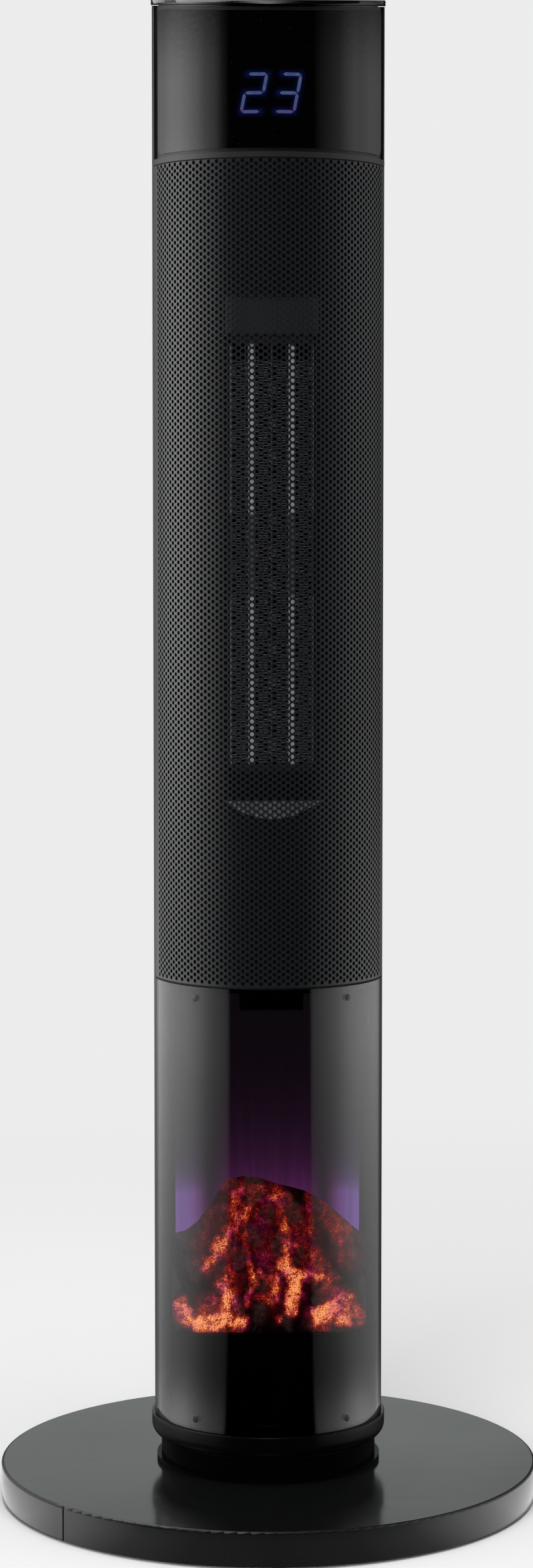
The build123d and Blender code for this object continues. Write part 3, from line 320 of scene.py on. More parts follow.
def stage_material(name, build):
    """A material for the studio, whose shader is what build(graph) returns."""
    made = bpy.data.materials.new(name)
    graph = Graph(made)
    graph.finish(build(graph))
    return made


def away_from_middle(graph):
    x, y, _ = graph.axes()
    return (x * x + y * y) ** 0.5


def pale_card(graph):
    near = graph.node("ShaderNodeBsdfDiffuse", sockets={"Color": grey(0.78), "Roughness": 0.5})
    blend = away_from_middle(graph).rise(floor_blend_start, floor_blend_end)
    return graph.node("ShaderNodeMixShader", sockets={0: blend, 1: near, 2: emission(graph, pale)})


def fan_of_angles(start, end, steps):
    return np.radians(np.linspace(start, end, steps))


ring = fan_of_angles(0, 360, 97)[:-1]
floor_points = [(0, 0, 0)] + [(floor_radius * cos(a), floor_radius * sin(a), 0) for a in ring]
floor_faces = [(0, 1 + i, 1 + (i + 1) % len(ring)) for i in range(len(ring))]
floor = piece("floor", floor_points, floor_faces, stage_material("pale_floor", pale_card))

# %% How bright each panel is, by the angle from the front in degrees
panel_distance = 1.9
panel_top = 2.4
panel_left = [
    (40, 0), (47, 0.2), (55, 0.75), (65, 1.15), (75, 1.9), (86, 2.4), (97, 2.6), (110, 2.1), (124, 1.2), (142, 0.5),
    (155, 0.25), (165, 0.1), (180, 0.1),
]
panel_right = [
    (42, 0), (50, 0.12), (60, 0.24), (70, 0.38), (80, 0.7), (90, 0.9), (100, 0.78), (114, 0.68), (130, 0.4),
    (147, 0.14), (160, 0.05), (180, 0.05),
]
floor_left = [
    (40, 0), (43, 0.3), (48, 0.44), (57, 0.61), (66, 0.87), (76, 1.3), (86, 1.6), (98, 1.65), (110, 1.5), (126, 1.25),
    (148, 0.8), (160, 0.2), (180, 0.15),
]
floor_right = [
    (40, 0), (42.5, 0.31), (51, 0.5), (60, 0.68), (70, 0.93), (80, 1.3), (91, 1.5), (103, 1.45), (117, 1.15),
    (134, 0.7), (150, 0.15), (160, 0.05), (180, 0.05),
]
floor_near = [(0, 0.13), (20, 0.2), (36, 0.5), (44, 0.95), (52, 1.4), (60, 1.6), (69, 1.8), (78, 1.6), (95, 1.0), (180, 0.9)]


def angle_from_front(graph, side):
    x, y, _ = graph.axes()
    return (side * x).turn_from(0 - y)


def graded(graph, stops, angle):
    """Brightness by the angle from the front in radians, from (degrees, brightness) pairs."""
    peak = max(level for _, level in stops)
    ramp = {"stops": [(degree / 180, grey(level / peak)) for degree, level in stops]}
    return graph.node("ShaderNodeValToRGB", ramp, {"Fac": angle * (1 / pi)}) * peak


def floor_share(away):
    """The floor sends back less of the panels' light the nearer it is to the heater."""
    return 0.2 + 0.45 * away


def panel_light(side, stops, floor_stops, lift):
    """A panel that takes over the floor's brightness at its foot, so that gloss shows no line between the two.

    Below the level that the head shows, its side part is brighter by the share called lift. A darker band above it
    shades the top of the head, and the top of the cap mirrors that band when the heater is seen from the side."""

    def build(graph):
        x, _, z = graph.axes()
        angle = angle_from_front(graph, side)
        band = 0.75 * z.rise(1.02, 1.14) * z.rise(1.6, 1.4)
        high = graded(graph, stops, angle) * (1 + lift * z.rise(1, 0.85) * x.size().rise(1.1, 1.6)) * (1 - band)
        low = graded(graph, floor_stops, angle) * floor_share(panel_distance)
        share = z.rise(0.08, 0.3)
        return emission(graph, high * share + low * (1 - share))

    return build


def floor_card_light(side, stops):
    """What gloss sees of the floor: the panel's light, dimmer towards the heater, and a grey rim round its foot."""

    def build(graph):
        _, y, _ = graph.axes()
        away = away_from_middle(graph)
        angle = angle_from_front(graph, side)
        close = (away - 0.235).bell(0.085) * (0.5 + 1.8 * y.rise(0.16, -0.04))
        far = graded(graph, stops, angle) * floor_share(away) * (1 + close)
        near = graded(graph, floor_near, angle)
        share = away.rise(0.2, 0.24)
        return emission(graph, far * share + near * (1 - share))

    return build


near_card_distance = 0.4
near_card_top = 0.26
column_radius = 0.066
sight_length = camera_distance - 0.04
sight_drop = (near_card_distance - 0.048) / sight_length


def near_card_light(graph):
    """A low card on the left that seems to be missing from the front, and hides the panel from the top of the base.

    A line of sight from the camera comes off the window, crosses the card and goes on to the floor or to the panel's
    foot. The card shows the brightness that lies there, and fades out at its top and its rear end."""
    _, _, z = graph.axes()
    angle = angle_from_front(graph, -1)
    seen_level = (z + sight_drop * camera_height) * (1 / (1 + sight_drop))
    away = (sight_length * seen_level / (camera_height - seen_level) + 0.045).least(panel_distance)
    passing_by = column_radius * (0.5 * angle + 0.06).sine()
    behind = angle + passing_by * (1 / near_card_distance - 1 / away)
    shown = emission(graph, graded(graph, floor_left, behind) * floor_share(away))
    gone = z.rise(0.2, near_card_top).largest(angle.rise(radians(125), radians(145)))
    clear = graph.node("ShaderNodeBsdfTransparent")
    return graph.node("ShaderNodeMixShader", sockets={0: gone, 1: shown, 2: clear})


# %% Panels, floor cards and the dark card
card_distance = 2.6


def ring_sector(name, side, stops):
    """One half of the floor round the base, just above it, seen by gloss only."""
    angles = fan_of_angles(0, side * 180, 65)
    reach = [(0.157, 0.001), (0.19, 0.001), (0.23, 0.001), (0.6, 0.001), (card_distance, 0.001)]
    points = [(r * sin(a), -r * cos(a), z) for r, z in reach for a in angles]
    return piece(name, points, grid_faces(len(reach), len(angles)), stage_material(name + "_light", floor_card_light(side, stops)))


def panel(name, side, stops, floor_stops, lift=0):
    finish = stage_material(name + "_light", panel_light(side, stops, floor_stops, lift))
    return curved_sheet(name, panel_distance, side * stops[0][0], side * 180, 0, panel_top, finish)


def low_panel_light(graph):
    """A low bright patch behind the heater, which the top of the base shows from edge to edge."""
    x, _, z = graph.axes()
    patch = x.size().rise(0.44, 0.36) * z.rise(0.72, 0.62)
    return emission(graph, graph.mix(patch, grey(0.08), colour(0.6, 0.64, 0.63)))


card_half_angle = 43
card_top = 4
dark_card_finish = stage_material("dark_card", lambda graph: emission(graph, grey(0)))
dark_card = curved_sheet("dark_card", card_distance, -card_half_angle, card_half_angle, -0.2, card_top, dark_card_finish)
low_panel = curved_sheet("low_panel", 1.85, 165, 195, 0.02, 0.75, stage_material("low_panel_light", low_panel_light))
near_card_finish = stage_material("near_card_light", near_card_light)
near_card = curved_sheet("near_card", near_card_distance, -36, -145, 0.002, near_card_top, near_card_finish)


def back_panel_light(graph):
    """A high panel behind the heater, bright on the left, which only the rim of the cap catches."""
    x, _, _ = graph.axes()
    return emission(graph, 0.1 + 0.9 * x.rise(0.35, -0.05))


def ceiling_light(graph):
    """A dark ceiling with a soft strip over the front and a brighter one behind, to the left."""
    x, y, _ = graph.axes()
    front = 2.6 * (x + 0.09).bell(0.36) * y.rise(-2.6, -2.2) * y.rise(0.3, 0.0)
    rear = 2.6 * x.rise(0.4, -0.5) * y.rise(0.1, 0.5) * y.rise(4, 3)
    return emission(graph, 0.02 + front + rear)


back_panel = curved_sheet("back_panel", 1.84, 150, 210, 1.3, 2.38, stage_material("back_panel_light", back_panel_light))
ceiling_points = [(x, y, 3) for x, y in ((-6, -6), (6, -6), (6, 6), (-6, 6))]
ceiling = piece("ceiling", ceiling_points, [(0, 1, 2, 3)], stage_material("ceiling_light", ceiling_light))
sheets = [
    panel("soft_panel_left", -1, panel_left, floor_left, 0.5),
    panel("soft_panel_right", 1, panel_right, floor_right),
    ring_sector("floor_card_left", -1, floor_left),
    ring_sector("floor_card_right", 1, floor_right),
    near_card,
    dark_card,
    low_panel,
    back_panel,
    ceiling,
]
for sheet in sheets:
    sheet.visible_camera = False
    sheet.visible_diffuse = False
    sheet.visible_shadow = False


# %% Overhead and front fill
def soft_lamp(name, place, aim, width, height, power):
    """An area lamp that lights colours but leaves no mirror image in gloss."""
    data = bpy.data.lights.new(name, "AREA")
    data.shape = "RECTANGLE"
    data.size = width
    data.size_y = height
    data.energy = power
    lamp = bpy.data.objects.new(name, data)
    lamp.location = place
    lamp.rotation_euler = (Vector(aim) - Vector(place)).to_track_quat("-Z", "Y").to_euler()
    lamp.visible_glossy = False
    lamp.visible_camera = False
    lamp.visible_transmission = False
    scene.collection.objects.link(lamp)
    return lamp


middle = Vector((0, 0, 0.43))
lamps = [
    soft_lamp("overhead", (0, -0.3, 3.0), middle, 2.4, 2.0, 60),
    soft_lamp("front_fill", (-0.8, -2.8, 1.5), middle, 1.6, 2.0, 42),
]
print("lights:", [lamp.name for lamp in lamps], "cards:", [sheet.name for sheet in sheets])

# %% [markdown]
# ## Black plastics
# Piano-black ABS is polished in the mould. What gives it away is not its colour but its skin: a faint orange peel that
# bends reflections, some hazy patches from wiping, and dust. The satin parts come from an etched mould, so they carry
# a fine even grain instead. Both are one graph each, with noise at the real size of the marks.

# %% Gloss and satin black


def gloss_black(graph):
    dust = graph.noise(2300, 1).rise(0.75, 0.82)
    haze = graph.noise(14, 3).rise(0.35, 0.75)
    wiping = graph.noise(1, 4, graph.stretched(260, 260, 16)).rise(0.55, 0.8)
    return {
        "Base Color": graph.mix(dust, colour(0.0005, 0.0005, 0.0007), grey(0.05)),
        "Roughness": 0.035 + 0.035 * haze + 0.03 * wiping + 0.25 * dust,
        "Normal": graph.bump(graph.noise(330, 1), 0.05, 0.2 * mm),
        "IOR": 1.5,
    }


cap_level = 857 * mm
cap_tilt = radians(8)
rim_height = 3.3 * mm


def cap_gloss(graph):
    """The gloss black, dull below, with the rim shaded as a round edge: upright at the bottom, nearly level on top."""
    sockets = gloss_black(graph)
    _, y, z = graph.axes()
    depth = (cap_level - z) * cos(cap_tilt) + y * sin(cap_tilt)
    share = (1 - depth * (1 / rim_height)).largest(0).least(1)
    facing = graph.node("ShaderNodeNewGeometry", output="Normal")
    level = graph.node("ShaderNodeSeparateXYZ", sockets={"Vector": facing}, output="Z")
    lift = graph.node("ShaderNodeCombineXYZ", sockets={"Z": 3 * share * share * (1 - level.size())})
    rounded = graph.vector("NORMALIZE", graph.vector("ADD", facing, lift))
    sockets["Normal"] = graph.bump(graph.noise(330, 1), 0.02, 0.1 * mm, rounded)
    sockets["Roughness"] = sockets["Roughness"].largest(level.rise(-0.3, -0.8))
    return sockets


seam_angle = radians(-49)
seam_reach = 155 * mm


def base_gloss(graph):
    """The base is less polished than the head, with wiping marks on its flat top and a dark, dull band about 2 mm wide
    along the seam of its side.
    """
    x, y, z = graph.axes()
    dust = graph.noise(1700, 1).rise(0.72, 0.8)
    haze = graph.noise(9, 4).rise(0.3, 0.75)
    wiping = graph.noise(1, 4, graph.stretched(12, 170, 40)).rise(0.5, 0.8)
    reach = (x * x + y * y) ** 0.5
    seam = ((x.turn_from(0 - y) - seam_angle) * seam_reach).size().rise(1.0 * mm, 0.5 * mm)
    seam = seam * reach.rise(154 * mm, 154.6 * mm)
    rim = reach.rise(152.8 * mm, 153.6 * mm) * z.rise(19 * mm, 20.5 * mm)
    clean = graph.mix(dust, colour(0.0044, 0.0047, 0.005), grey(0.045))
    return {
        "Base Color": graph.mix(seam, clean, grey(0.0004)),
        "Roughness": (0.12 + 0.05 * haze + 0.03 * wiping + 0.2 * dust).largest(0.9 * seam).largest(0.28 * rim),
        "Normal": graph.bump(graph.noise(260, 1), 0.015, 0.1 * mm),
        "IOR": 1.5,
    }


def satin_black(graph):
    grain = graph.noise(3800, 2)
    blotch = graph.noise(25, 3)
    rub = graph.noise(1, 3, graph.stretched(90, 90, 900)).rise(0.6, 0.85)
    return {
        "Base Color": graph.mix(blotch, colour(0.006, 0.006, 0.0065), colour(0.010, 0.010, 0.011)),
        "Roughness": 0.3 + 0.08 * grain + 0.08 * blotch - 0.06 * rub,
        "Normal": graph.bump(grain, 0.12, 0.06 * mm),
        "IOR": 1.5,
    }


def trim_satin(graph):
    """The thin ring under the head is the same etched plastic, a little greyer."""
    sockets = satin_black(graph)
    cloud = graph.noise(45, 3)
    sockets["Base Color"] = graph.mix(cloud, grey(0.011), grey(0.016))
    return sockets


def inner_black(graph):
    grain = graph.noise(2600, 3)
    flow = graph.noise(1, 3, graph.stretched(40, 40, 9))
    return {
        "Base Color": graph.mix(flow, colour(0.008, 0.008, 0.0085), colour(0.014, 0.014, 0.014)),
        "Roughness": 0.5 + 0.15 * grain,
        "Normal": graph.bump(grain, 0.2, 0.1 * mm),
    }


def outlet_black(graph):
    """Painted light where the warm air leaves: a lighter grey where light from above falls on the sloping lip below the
    element, and a fainter one on the flat plate above it.
    """
    x, _, z = graph.axes()
    grain = graph.noise(2600, 3)
    patchiness = graph.noise(120, 4)
    bowl = 0.3985 + x * x * (0.009 / 0.026**2)
    lip = z.rise(0.4090, 0.4078) * (z - bowl).rise(0, 0.0008)
    plate = z.rise(0.666, 0.668) * z.rise(0.6885, 0.6865) * x.size().rise(0.0262, 0.0252)
    # painted light: a patchy lighter grey on the lip, fainter on the plate
    painted_light = (lip * (0.28 + 0.42 * patchiness)).largest(0.1 * plate)
    return {
        "Base Color": graph.mix(painted_light, colour(0.004, 0.004, 0.0045), colour(0.42, 0.42, 0.43)),
        "Roughness": 0.5 + 0.2 * grain,
        "Normal": graph.bump(grain, 0.2, 0.1 * mm),
    }


def chamber_black(graph):
    flock = graph.noise(2400, 3)
    return {
        "Base Color": graph.mix(flock, grey(0.0006), grey(0.002)),
        "Roughness": 0.75 + 0.2 * flock,
        "Specular IOR Level": 0.15,
        "Normal": graph.bump(flock, 0.3, 0.1 * mm),
    }


def polished_satin(graph):
    grain = graph.noise(3200, 2)
    rub = graph.noise(1, 3, graph.stretched(70, 70, 700)).rise(0.55, 0.85)
    return {
        "Base Color": graph.mix(rub, grey(0.0012), grey(0.003)),
        "Roughness": 0.18 + 0.06 * grain + 0.05 * rub,
        "Normal": graph.bump(grain, 0.08, 0.05 * mm),
        "Specular IOR Level": 0.2,
    }


def neck_painted_shade(graph):
    """The neck is painted nearly black and almost without sheen: painted shade, as it stands in the collar's shadow."""
    sockets = polished_satin(graph)
    sockets["Base Color"] = graph.mix(graph.noise(60, 3), grey(0.0006), grey(0.0016))
    sockets["Specular IOR Level"] = 0.02
    return sockets


def dress(finish, slot, *names):
    """Gives CAD solids their finish. The slot argument, the record's slot that the finish stands for, is not used."""
    for name in names:
        solid = nodes[name]
        if not solid.material_slots:
            solid.data.materials.append(finish)
        for place in solid.material_slots:
            place.material = finish
        dressed.add(name)


dressed = set()
dress(material("cap_gloss_skin", cap_gloss), "gloss_black_plastic", "top_cap")
dress(material("base_gloss_skin", base_gloss), "gloss_black_plastic", "base_cover")
dress(
    material("satin_black_skin", satin_black), "satin_black_plastic", "rear_housing", "head_rear_shell", "head_frame",
    "grip_cup",
)
dress(material("trim_satin_skin", trim_satin), "satin_black_plastic", "trim_ring")
dress(material("polished_satin_skin", polished_satin), "satin_black_plastic", "bottom_collar")
dress(material("neck_painted_shade_skin", neck_painted_shade), "satin_black_plastic", "neck")
dress(
    material("inner_black_skin", inner_black), "inner_black_plastic", "base_plate", "fan_deck_lower",
    "fan_deck_upper", "scroll_housing", "switch_bezel", "display_module", "tip_over_switch",
)
dress(material("outlet_frame_skin", outlet_black), "inner_black_plastic", "outlet_frame")
dress(
    material("chamber_black_skin", chamber_black), "inner_black_plastic", "chamber_liner", "ember_tray", "lamp_box",
    "rotor_bracket", "partition_deck",
)
print("black solids:", len(dressed))

# %% [markdown]
# ## Metals, rubber and the other plain finishes
# These show only in part, but each has marks that say what it is: zinc plate has a cloudy spangle, sheet steel has fine
# rolling lines, rubber is dull and slightly dusty, and white acetal is waxy. The rolling lines come from noise that is
# stretched along one axis.

# %% Metals
cutout_level = sum(corner.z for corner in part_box("thermal_cutout")) / 2
bar_middle = 11.15 * mm


def plated_steel(graph):
    cloud = graph.noise(160, 4)
    return {
        "Base Color": graph.mix(cloud, colour(0.42, 0.43, 0.44), colour(0.62, 0.61, 0.58)),
        "Metallic": 0.9,
        "Roughness": 0.28 + 0.2 * cloud,
        "Normal": graph.bump(graph.noise(1900, 2), 0.1, 0.05 * mm),
    }


def pressed_steel(graph):
    lines = graph.noise(1, 3, graph.stretched(60, 3000, 3000))
    return {
        "Base Color": graph.mix(lines, grey(0.32), grey(0.46)),
        "Metallic": 0.95,
        "Roughness": 0.3 + 0.25 * lines,
        "Normal": graph.bump(lines, 0.1, 0.05 * mm),
    }


def aluminium(graph):
    x, _, z = graph.axes()
    drawn = graph.noise(1, 3, graph.stretched(4200, 4200, 70))
    heat = graph.noise(26, 2).rise(0.4, 0.75)
    side = x.size().rise(20 * mm, 21 * mm)
    edge = (x.size() - bar_middle).size().rise(1.4 * mm, 1.9 * mm) * x.size().rise(16 * mm, 15 * mm)
    sleeve = (z - cutout_level).size().rise(24 * mm, 22 * mm)
    dark = (0.4 * side).largest(0.9 * edge).largest(0.82 * sleeve)
    bare = graph.mix(heat, colour(0.82, 0.83, 0.84), colour(0.58, 0.58, 0.59))
    return {
        "Base Color": graph.mix(dark, bare, grey(0.035)),
        "Metallic": 0.3,
        "Roughness": 0.35 + 0.2 * drawn,
        "Normal": graph.bump(drawn, 0.15, 0.05 * mm),
    }


def rubber(graph):
    powder = graph.noise(900, 4)
    return {
        "Base Color": graph.mix(powder, grey(0.011), grey(0.024)),
        "Roughness": 0.7 + 0.2 * powder,
        "Normal": graph.bump(powder, 0.2, 0.08 * mm),
    }


def gasket_rubber(graph):
    """The ring at the neck's foot is rubber, painted deep black and with little sheen: painted shade, as it lies in the
    neck's shadow.
    """
    sockets = rubber(graph)
    sockets["Base Color"] = graph.mix(graph.noise(400, 3), grey(0.001), grey(0.003))
    sockets["Specular IOR Level"] = 0.08
    return sockets


def acetal(graph):
    """White acetal, painted near black at the rim of the ring that the tower turns on: painted shade where the rim lies
    under the collar.
    """
    x, y, _ = graph.axes()
    flow = graph.noise(60, 3)
    # painted shade: the ring's rim under the collar turns near black
    rim_shade = ((x * x + y * y) ** 0.5).rise(58 * mm, 60.5 * mm)
    clean = graph.mix(flow, colour(0.80, 0.80, 0.77), colour(0.70, 0.70, 0.66))
    return {
        "Base Color": graph.mix(rim_shade, clean, grey(0.004)),
        "Roughness": 0.3 + 0.15 * flow,
        "Normal": graph.bump(graph.noise(1500, 2), 0.08, 0.05 * mm),
        "Subsurface Weight": 0.1,
    }


dress(
    material("zinc_plate", plated_steel), "plated_steel", "base_weight", "base_screws", "swivel_washer", "fan_shaft",
    "fan_motor", "flame_motor", "swing_motor", "housing_screws", "thermal_cutout",
)
dress(material("pressed_sheet", pressed_steel), "swivel_steel", "swivel_plate", "swing_crank")
dress(material("white_acetal_skin", acetal), "white_acetal", "slide_ring", "tip_over_plunger", "lower_bearing")
dress(material("black_rubber_skin", rubber), "black_rubber", "base_feet", "cord_gland")
dress(material("gasket_skin", gasket_rubber), "black_rubber", "neck_gasket")
dress(material("element_bars", aluminium), "element_aluminium", "ptc_bars")


# %% Heat resin, fan plastic, filter, boards, foil
def heat_resin(graph):
    speck = graph.noise(1400, 3)
    return {
        "Base Color": graph.mix(speck, colour(0.012, 0.012, 0.012), colour(0.03, 0.029, 0.027)),
        "Roughness": 0.55 + 0.2 * speck,
        "Normal": graph.bump(speck, 0.2, 0.08 * mm),
    }


def fan_plastic(graph):
    flow = graph.noise(1, 3, graph.stretched(200, 200, 20))
    return {
        "Base Color": graph.mix(flow, grey(0.02), grey(0.035)),
        "Roughness": 0.4 + 0.15 * flow,
        "Normal": graph.bump(graph.noise(2500, 2), 0.12, 0.05 * mm),
    }


def filter_weave(graph):
    x, y, z = graph.axes()
    around = x.turn_from(0 - y) * 0.063
    pitch = 1.1 * mm
    warp = (around * (pi / pitch)).sine().size()
    weft = (z * (pi / pitch)).sine().size()
    thread = (1 - warp.rise(0.3, 0.6)).largest(1 - weft.rise(0.3, 0.6))
    return {
        "Base Color": graph.mix(thread, grey(0.004), grey(0.05)),
        "Roughness": 0.8 - 0.25 * thread,
        "Normal": graph.bump(thread, 0.6, 0.3 * mm),
    }


def circuit_board(graph):
    tracks = graph.noise(240, 2).rise(0.5, 0.54)
    return {
        "Base Color": graph.mix(tracks, colour(0.012, 0.05, 0.018), colour(0.02, 0.085, 0.03)),
        "Roughness": 0.35 + 0.15 * tracks,
        "Normal": graph.bump(tracks, 0.2, 0.05 * mm),
    }


def reflector_foil(graph):
    crease = graph.noise(150, 4)
    return {
        "Base Color": graph.mix(crease, colour(0.75, 0.70, 0.62), colour(0.9, 0.86, 0.8)),
        "Metallic": 1,
        "Roughness": 0.12 + 0.15 * crease,
        "Normal": graph.bump(crease, 0.5, 0.4 * mm),
    }


dress(material("heat_resin_skin", heat_resin), "heat_resin", "ptc_end_caps")
dress(material("fan_plastic_skin", fan_plastic), "fan_plastic", "fan_wheel")
dress(material("filter_weave_skin", filter_weave), "filter_mesh", "intake_filter")
dress(material("board_skin", circuit_board), "circuit_board", "power_board", "control_board")
dress(material("foil_skin", reflector_foil), "reflector_foil", "flame_rotor")


def blackened_pin(graph):
    cloud = graph.noise(700, 3)
    return {
        "Base Color": graph.mix(cloud, grey(0.02), grey(0.06)),
        "Metallic": 0.8,
        "Roughness": 0.4 + 0.2 * cloud,
        "Normal": graph.bump(cloud, 0.2, 0.05 * mm),
    }


dress(material("blackened_pins", blackened_pin), "pin_steel", "window_pins")

# %% [markdown]
# ## Perforated grille
# The front of the column is a thin steel sheet with thousands of small round holes in staggered rows. A bump or an
# alpha texture would fake them, but the heating element has to show through, dark holes need real depth, and the sheet
# glints at each hole's rim. So the sheet is laid out flat on a grid of cells, every second column shifted by half a
# hole, each cell with an eight-sided hole in it. Then it gets its thickness and is rolled round the column. It comes
# as three strips, so that no mesh grows too heavy.


# %% A flat layout that gets thickness and a roll
def rolled_sheet(name, flat_points, faces, outer, thickness, finish):
    """A closed sheet from flat points (distance round, height) and quads, rolled to its outer radius in metres."""
    flat = np.array(flat_points)
    keys = np.round(flat / (0.01 * mm)).astype(np.int64)
    _, first, same = np.unique(keys, axis=0, return_index=True, return_inverse=True)
    same = same.ravel()
    flat = flat[first]
    quads = same[np.array(faces)]
    angle = flat[:, 0] / outer
    rings = [
        np.stack([r * np.sin(angle), -r * np.cos(angle), flat[:, 1]], axis=1) for r in (outer, outer - thickness)
    ]
    count = len(flat)
    starts = quads.ravel()
    ends = np.roll(quads, -1, axis=1).ravel()
    forward = starts * count + ends
    backward = ends * count + starts
    rim = ~np.isin(forward, backward)
    walls = np.stack([ends[rim], starts[rim], starts[rim] + count, ends[rim] + count], axis=1)
    everything = np.concatenate([quads, quads[:, ::-1] + count, walls])
    return piece(name, np.concatenate(rings), everything, finish)


# %% Powder-coated sheet
def powder_coat(graph):
    """Black powder coat, with painted shade in the grooves where the sheet meets the ring above it and the window below
    it.
    """
    _, _, z = graph.axes()
    grain = graph.noise(2200, 2)
    blotch = graph.noise(18, 3)
    # painted shade: a dark, dull line in the grooves at the ring above and the window below
    groove_shade = z.rise(304.8 * mm, 304 * mm).largest(z.rise(762 * mm, 762.5 * mm))
    coat = graph.mix(blotch, colour(0.0075, 0.0085, 0.010), colour(0.010, 0.0115, 0.0135))
    return {
        "Base Color": graph.mix(groove_shade, coat, grey(0.0008)),
        "Roughness": (0.24 + 0.05 * blotch + 0.07 * grain).largest(0.9 * groove_shade),
        "Normal": graph.bump(grain, 0.15, 0.05 * mm),
        "IOR": 1.5,
    }


grille_finish = material("powder_coated_sheet", powder_coat)

# %% The perforated strips
sheet_radius = 66 * mm
sheet_thickness = 0.8 * mm
hole_radius = 1.2 * mm
cell_width = 2.525 * mm
cell_height = 3.58 * mm
cell_columns = 66
cell_rows = 128

grille_low, grille_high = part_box("front_grille")
sheet_edge = sheet_radius * radians(78.74)
field_half_width = cell_columns * cell_width / 2
field_bottom = grille_high.z - 0.1 * mm - cell_rows * cell_height
margin_steps = 5


def strip_layout(first, last):
    """Flat points and quads of the columns from first to last, with the plain margins that belong to them."""
    points, quads = [], []

    def quad(corners):
        quads.append(range(len(points), len(points) + 4))
        points.extend(corners)

    def block(left, right, low, high):
        quad([(left, low), (right, low), (right, high), (left, high)])

    half_width, half_height = cell_width / 2, cell_height / 2
    ring = [(-1, -1), (0, -1), (1, -1), (1, 0), (1, 1), (0, 1), (-1, 1), (-1, 0)]
    top = field_bottom + cell_rows * cell_height
    for column in range(first, last):
        middle = (column + 0.5) * cell_width - field_half_width
        shifted = column % 2
        for row in range(cell_rows - shifted):
            level = field_bottom + (row + 0.5 + 0.5 * shifted) * cell_height
            outer = [(middle + a * half_width, level + b * half_height) for a, b in ring]
            hole = [
                (middle + hole_radius * a / sqrt(a * a + b * b), level + hole_radius * b / sqrt(a * a + b * b))
                for a, b in ring
            ]
            for side in range(8):
                after = (side + 1) % 8
                quad([outer[side], outer[after], hole[after], hole[side]])
        for left in (middle - half_width, middle):
            if shifted:
                block(left, left + half_width, field_bottom, field_bottom + half_height)
                block(left, left + half_width, top - half_height, top)
            block(left, left + half_width, grille_low.z, field_bottom)
            block(left, left + half_width, top, grille_high.z)
    levels = [grille_low.z] + [field_bottom + k * half_height for k in range(2 * cell_rows + 1)] + [grille_high.z]
    edges = []
    if first == 0:
        edges.append((-sheet_edge, -field_half_width))
    if last == cell_columns:
        edges.append((field_half_width, sheet_edge))
    for left, right in edges:
        stops = np.linspace(left, right, margin_steps)
        for low, high in zip(levels, levels[1:]):
            for a, b in zip(stops, stops[1:]):
                block(a, b, low, high)
    return points, quads


grille_strips = []
for name, first, last in (("left", 0, 22), ("middle", 22, 44), ("right", 44, 66)):
    flat_points, quads = strip_layout(first, last)
    strip = rolled_sheet(f"grille_strip_{name}", flat_points, quads, sheet_radius, sheet_thickness, grille_finish)
    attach(strip, "tower")
    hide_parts("front_grille")
    grille_strips.append(strip)
print("holes:", cell_columns * cell_rows - cell_columns // 2, "faces:", [len(s.data.polygons) for s in grille_strips])

# %% [markdown]
# ## Heating element fins
# Between the aluminium bars of a ceramic heating element runs a strip of thin sheet, folded to and fro many times so
# that the air has a large surface to pick the heat up from. An array of single plates would leave out the folds. The
# strip is drawn as one zigzag line, given its thickness, and pushed back by the depth of the element.

# %% Folded strips
fin_low, fin_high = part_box("ptc_fins")
fold_pitch = 1.5 * mm
strip_thickness = 0.16 * mm
fin_spans = [(-22.1, -13.3), (-9.0, -0.65), (0.65, 9.0), (13.3, 22.1)]


def fin_metal(graph):
    drawn = graph.noise(900, 3)
    return {
        "Base Color": graph.mix(drawn, colour(0.42, 0.42, 0.43), colour(0.62, 0.62, 0.63)),
        "Metallic": 0.3,
        "Roughness": 0.4 + 0.2 * drawn,
        "Normal": graph.bump(drawn, 0.15, 0.05 * mm),
    }


fin_finish = material("folded_fin_metal", fin_metal)


def folded_strip(name, left, right):
    """One zigzag strip between two heights, closed on all sides."""
    folds = int((fin_high.z - fin_low.z - 2 * strip_thickness) / fold_pitch)
    line = []
    for fold in range(folds + 1):
        level = fin_low.z + strip_thickness + fold * fold_pitch
        side = left if fold % 2 else right
        turn = 0.22 * fold_pitch
        inward = (0.25 * mm) if side == left else (-0.25 * mm)
        line += [(side + inward, level - turn), (side, level), (side + inward, level + turn)]
    line = [(x, min(max(z, fin_low.z + strip_thickness), fin_high.z - strip_thickness)) for x, z in line]
    points, faces = [], []
    for x, z in line:
        for depth, shift in ((fin_low.y, -1), (fin_high.y, -1), (fin_high.y, 1), (fin_low.y, 1)):
            points.append((x, depth, z + shift * strip_thickness / 2))
    for step in range(len(line) - 1):
        here, there = 4 * step, 4 * (step + 1)
        for side in range(4):
            after = (side + 1) % 4
            faces.append((here + side, there + side, there + after, here + after))
    faces.append((0, 1, 2, 3))
    last = 4 * (len(line) - 1)
    faces.append((last + 3, last + 2, last + 1, last))
    return piece(name, points, faces, fin_finish, 25)


for index, (left, right) in enumerate(fin_spans):
    stack = folded_strip(f"fin_stack_{index + 1}", left * mm, right * mm)
    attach(stack, "tower")
    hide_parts("ptc_fins")
print("folds in each stack:", int((fin_high.z - fin_low.z) / fold_pitch))

# %% [markdown]
# ## Smoked window
# The window is a bent sheet of smoked glass. Two ways lead there: a see-through surface with a mirror coat, or real
# transmission. Real transmission was chosen, because the sheet has its true thickness in the solids and its two faces
# then each give their own reflection, which is why the grey bands look stronger here than on the plastic above.

# %% Smoked glass


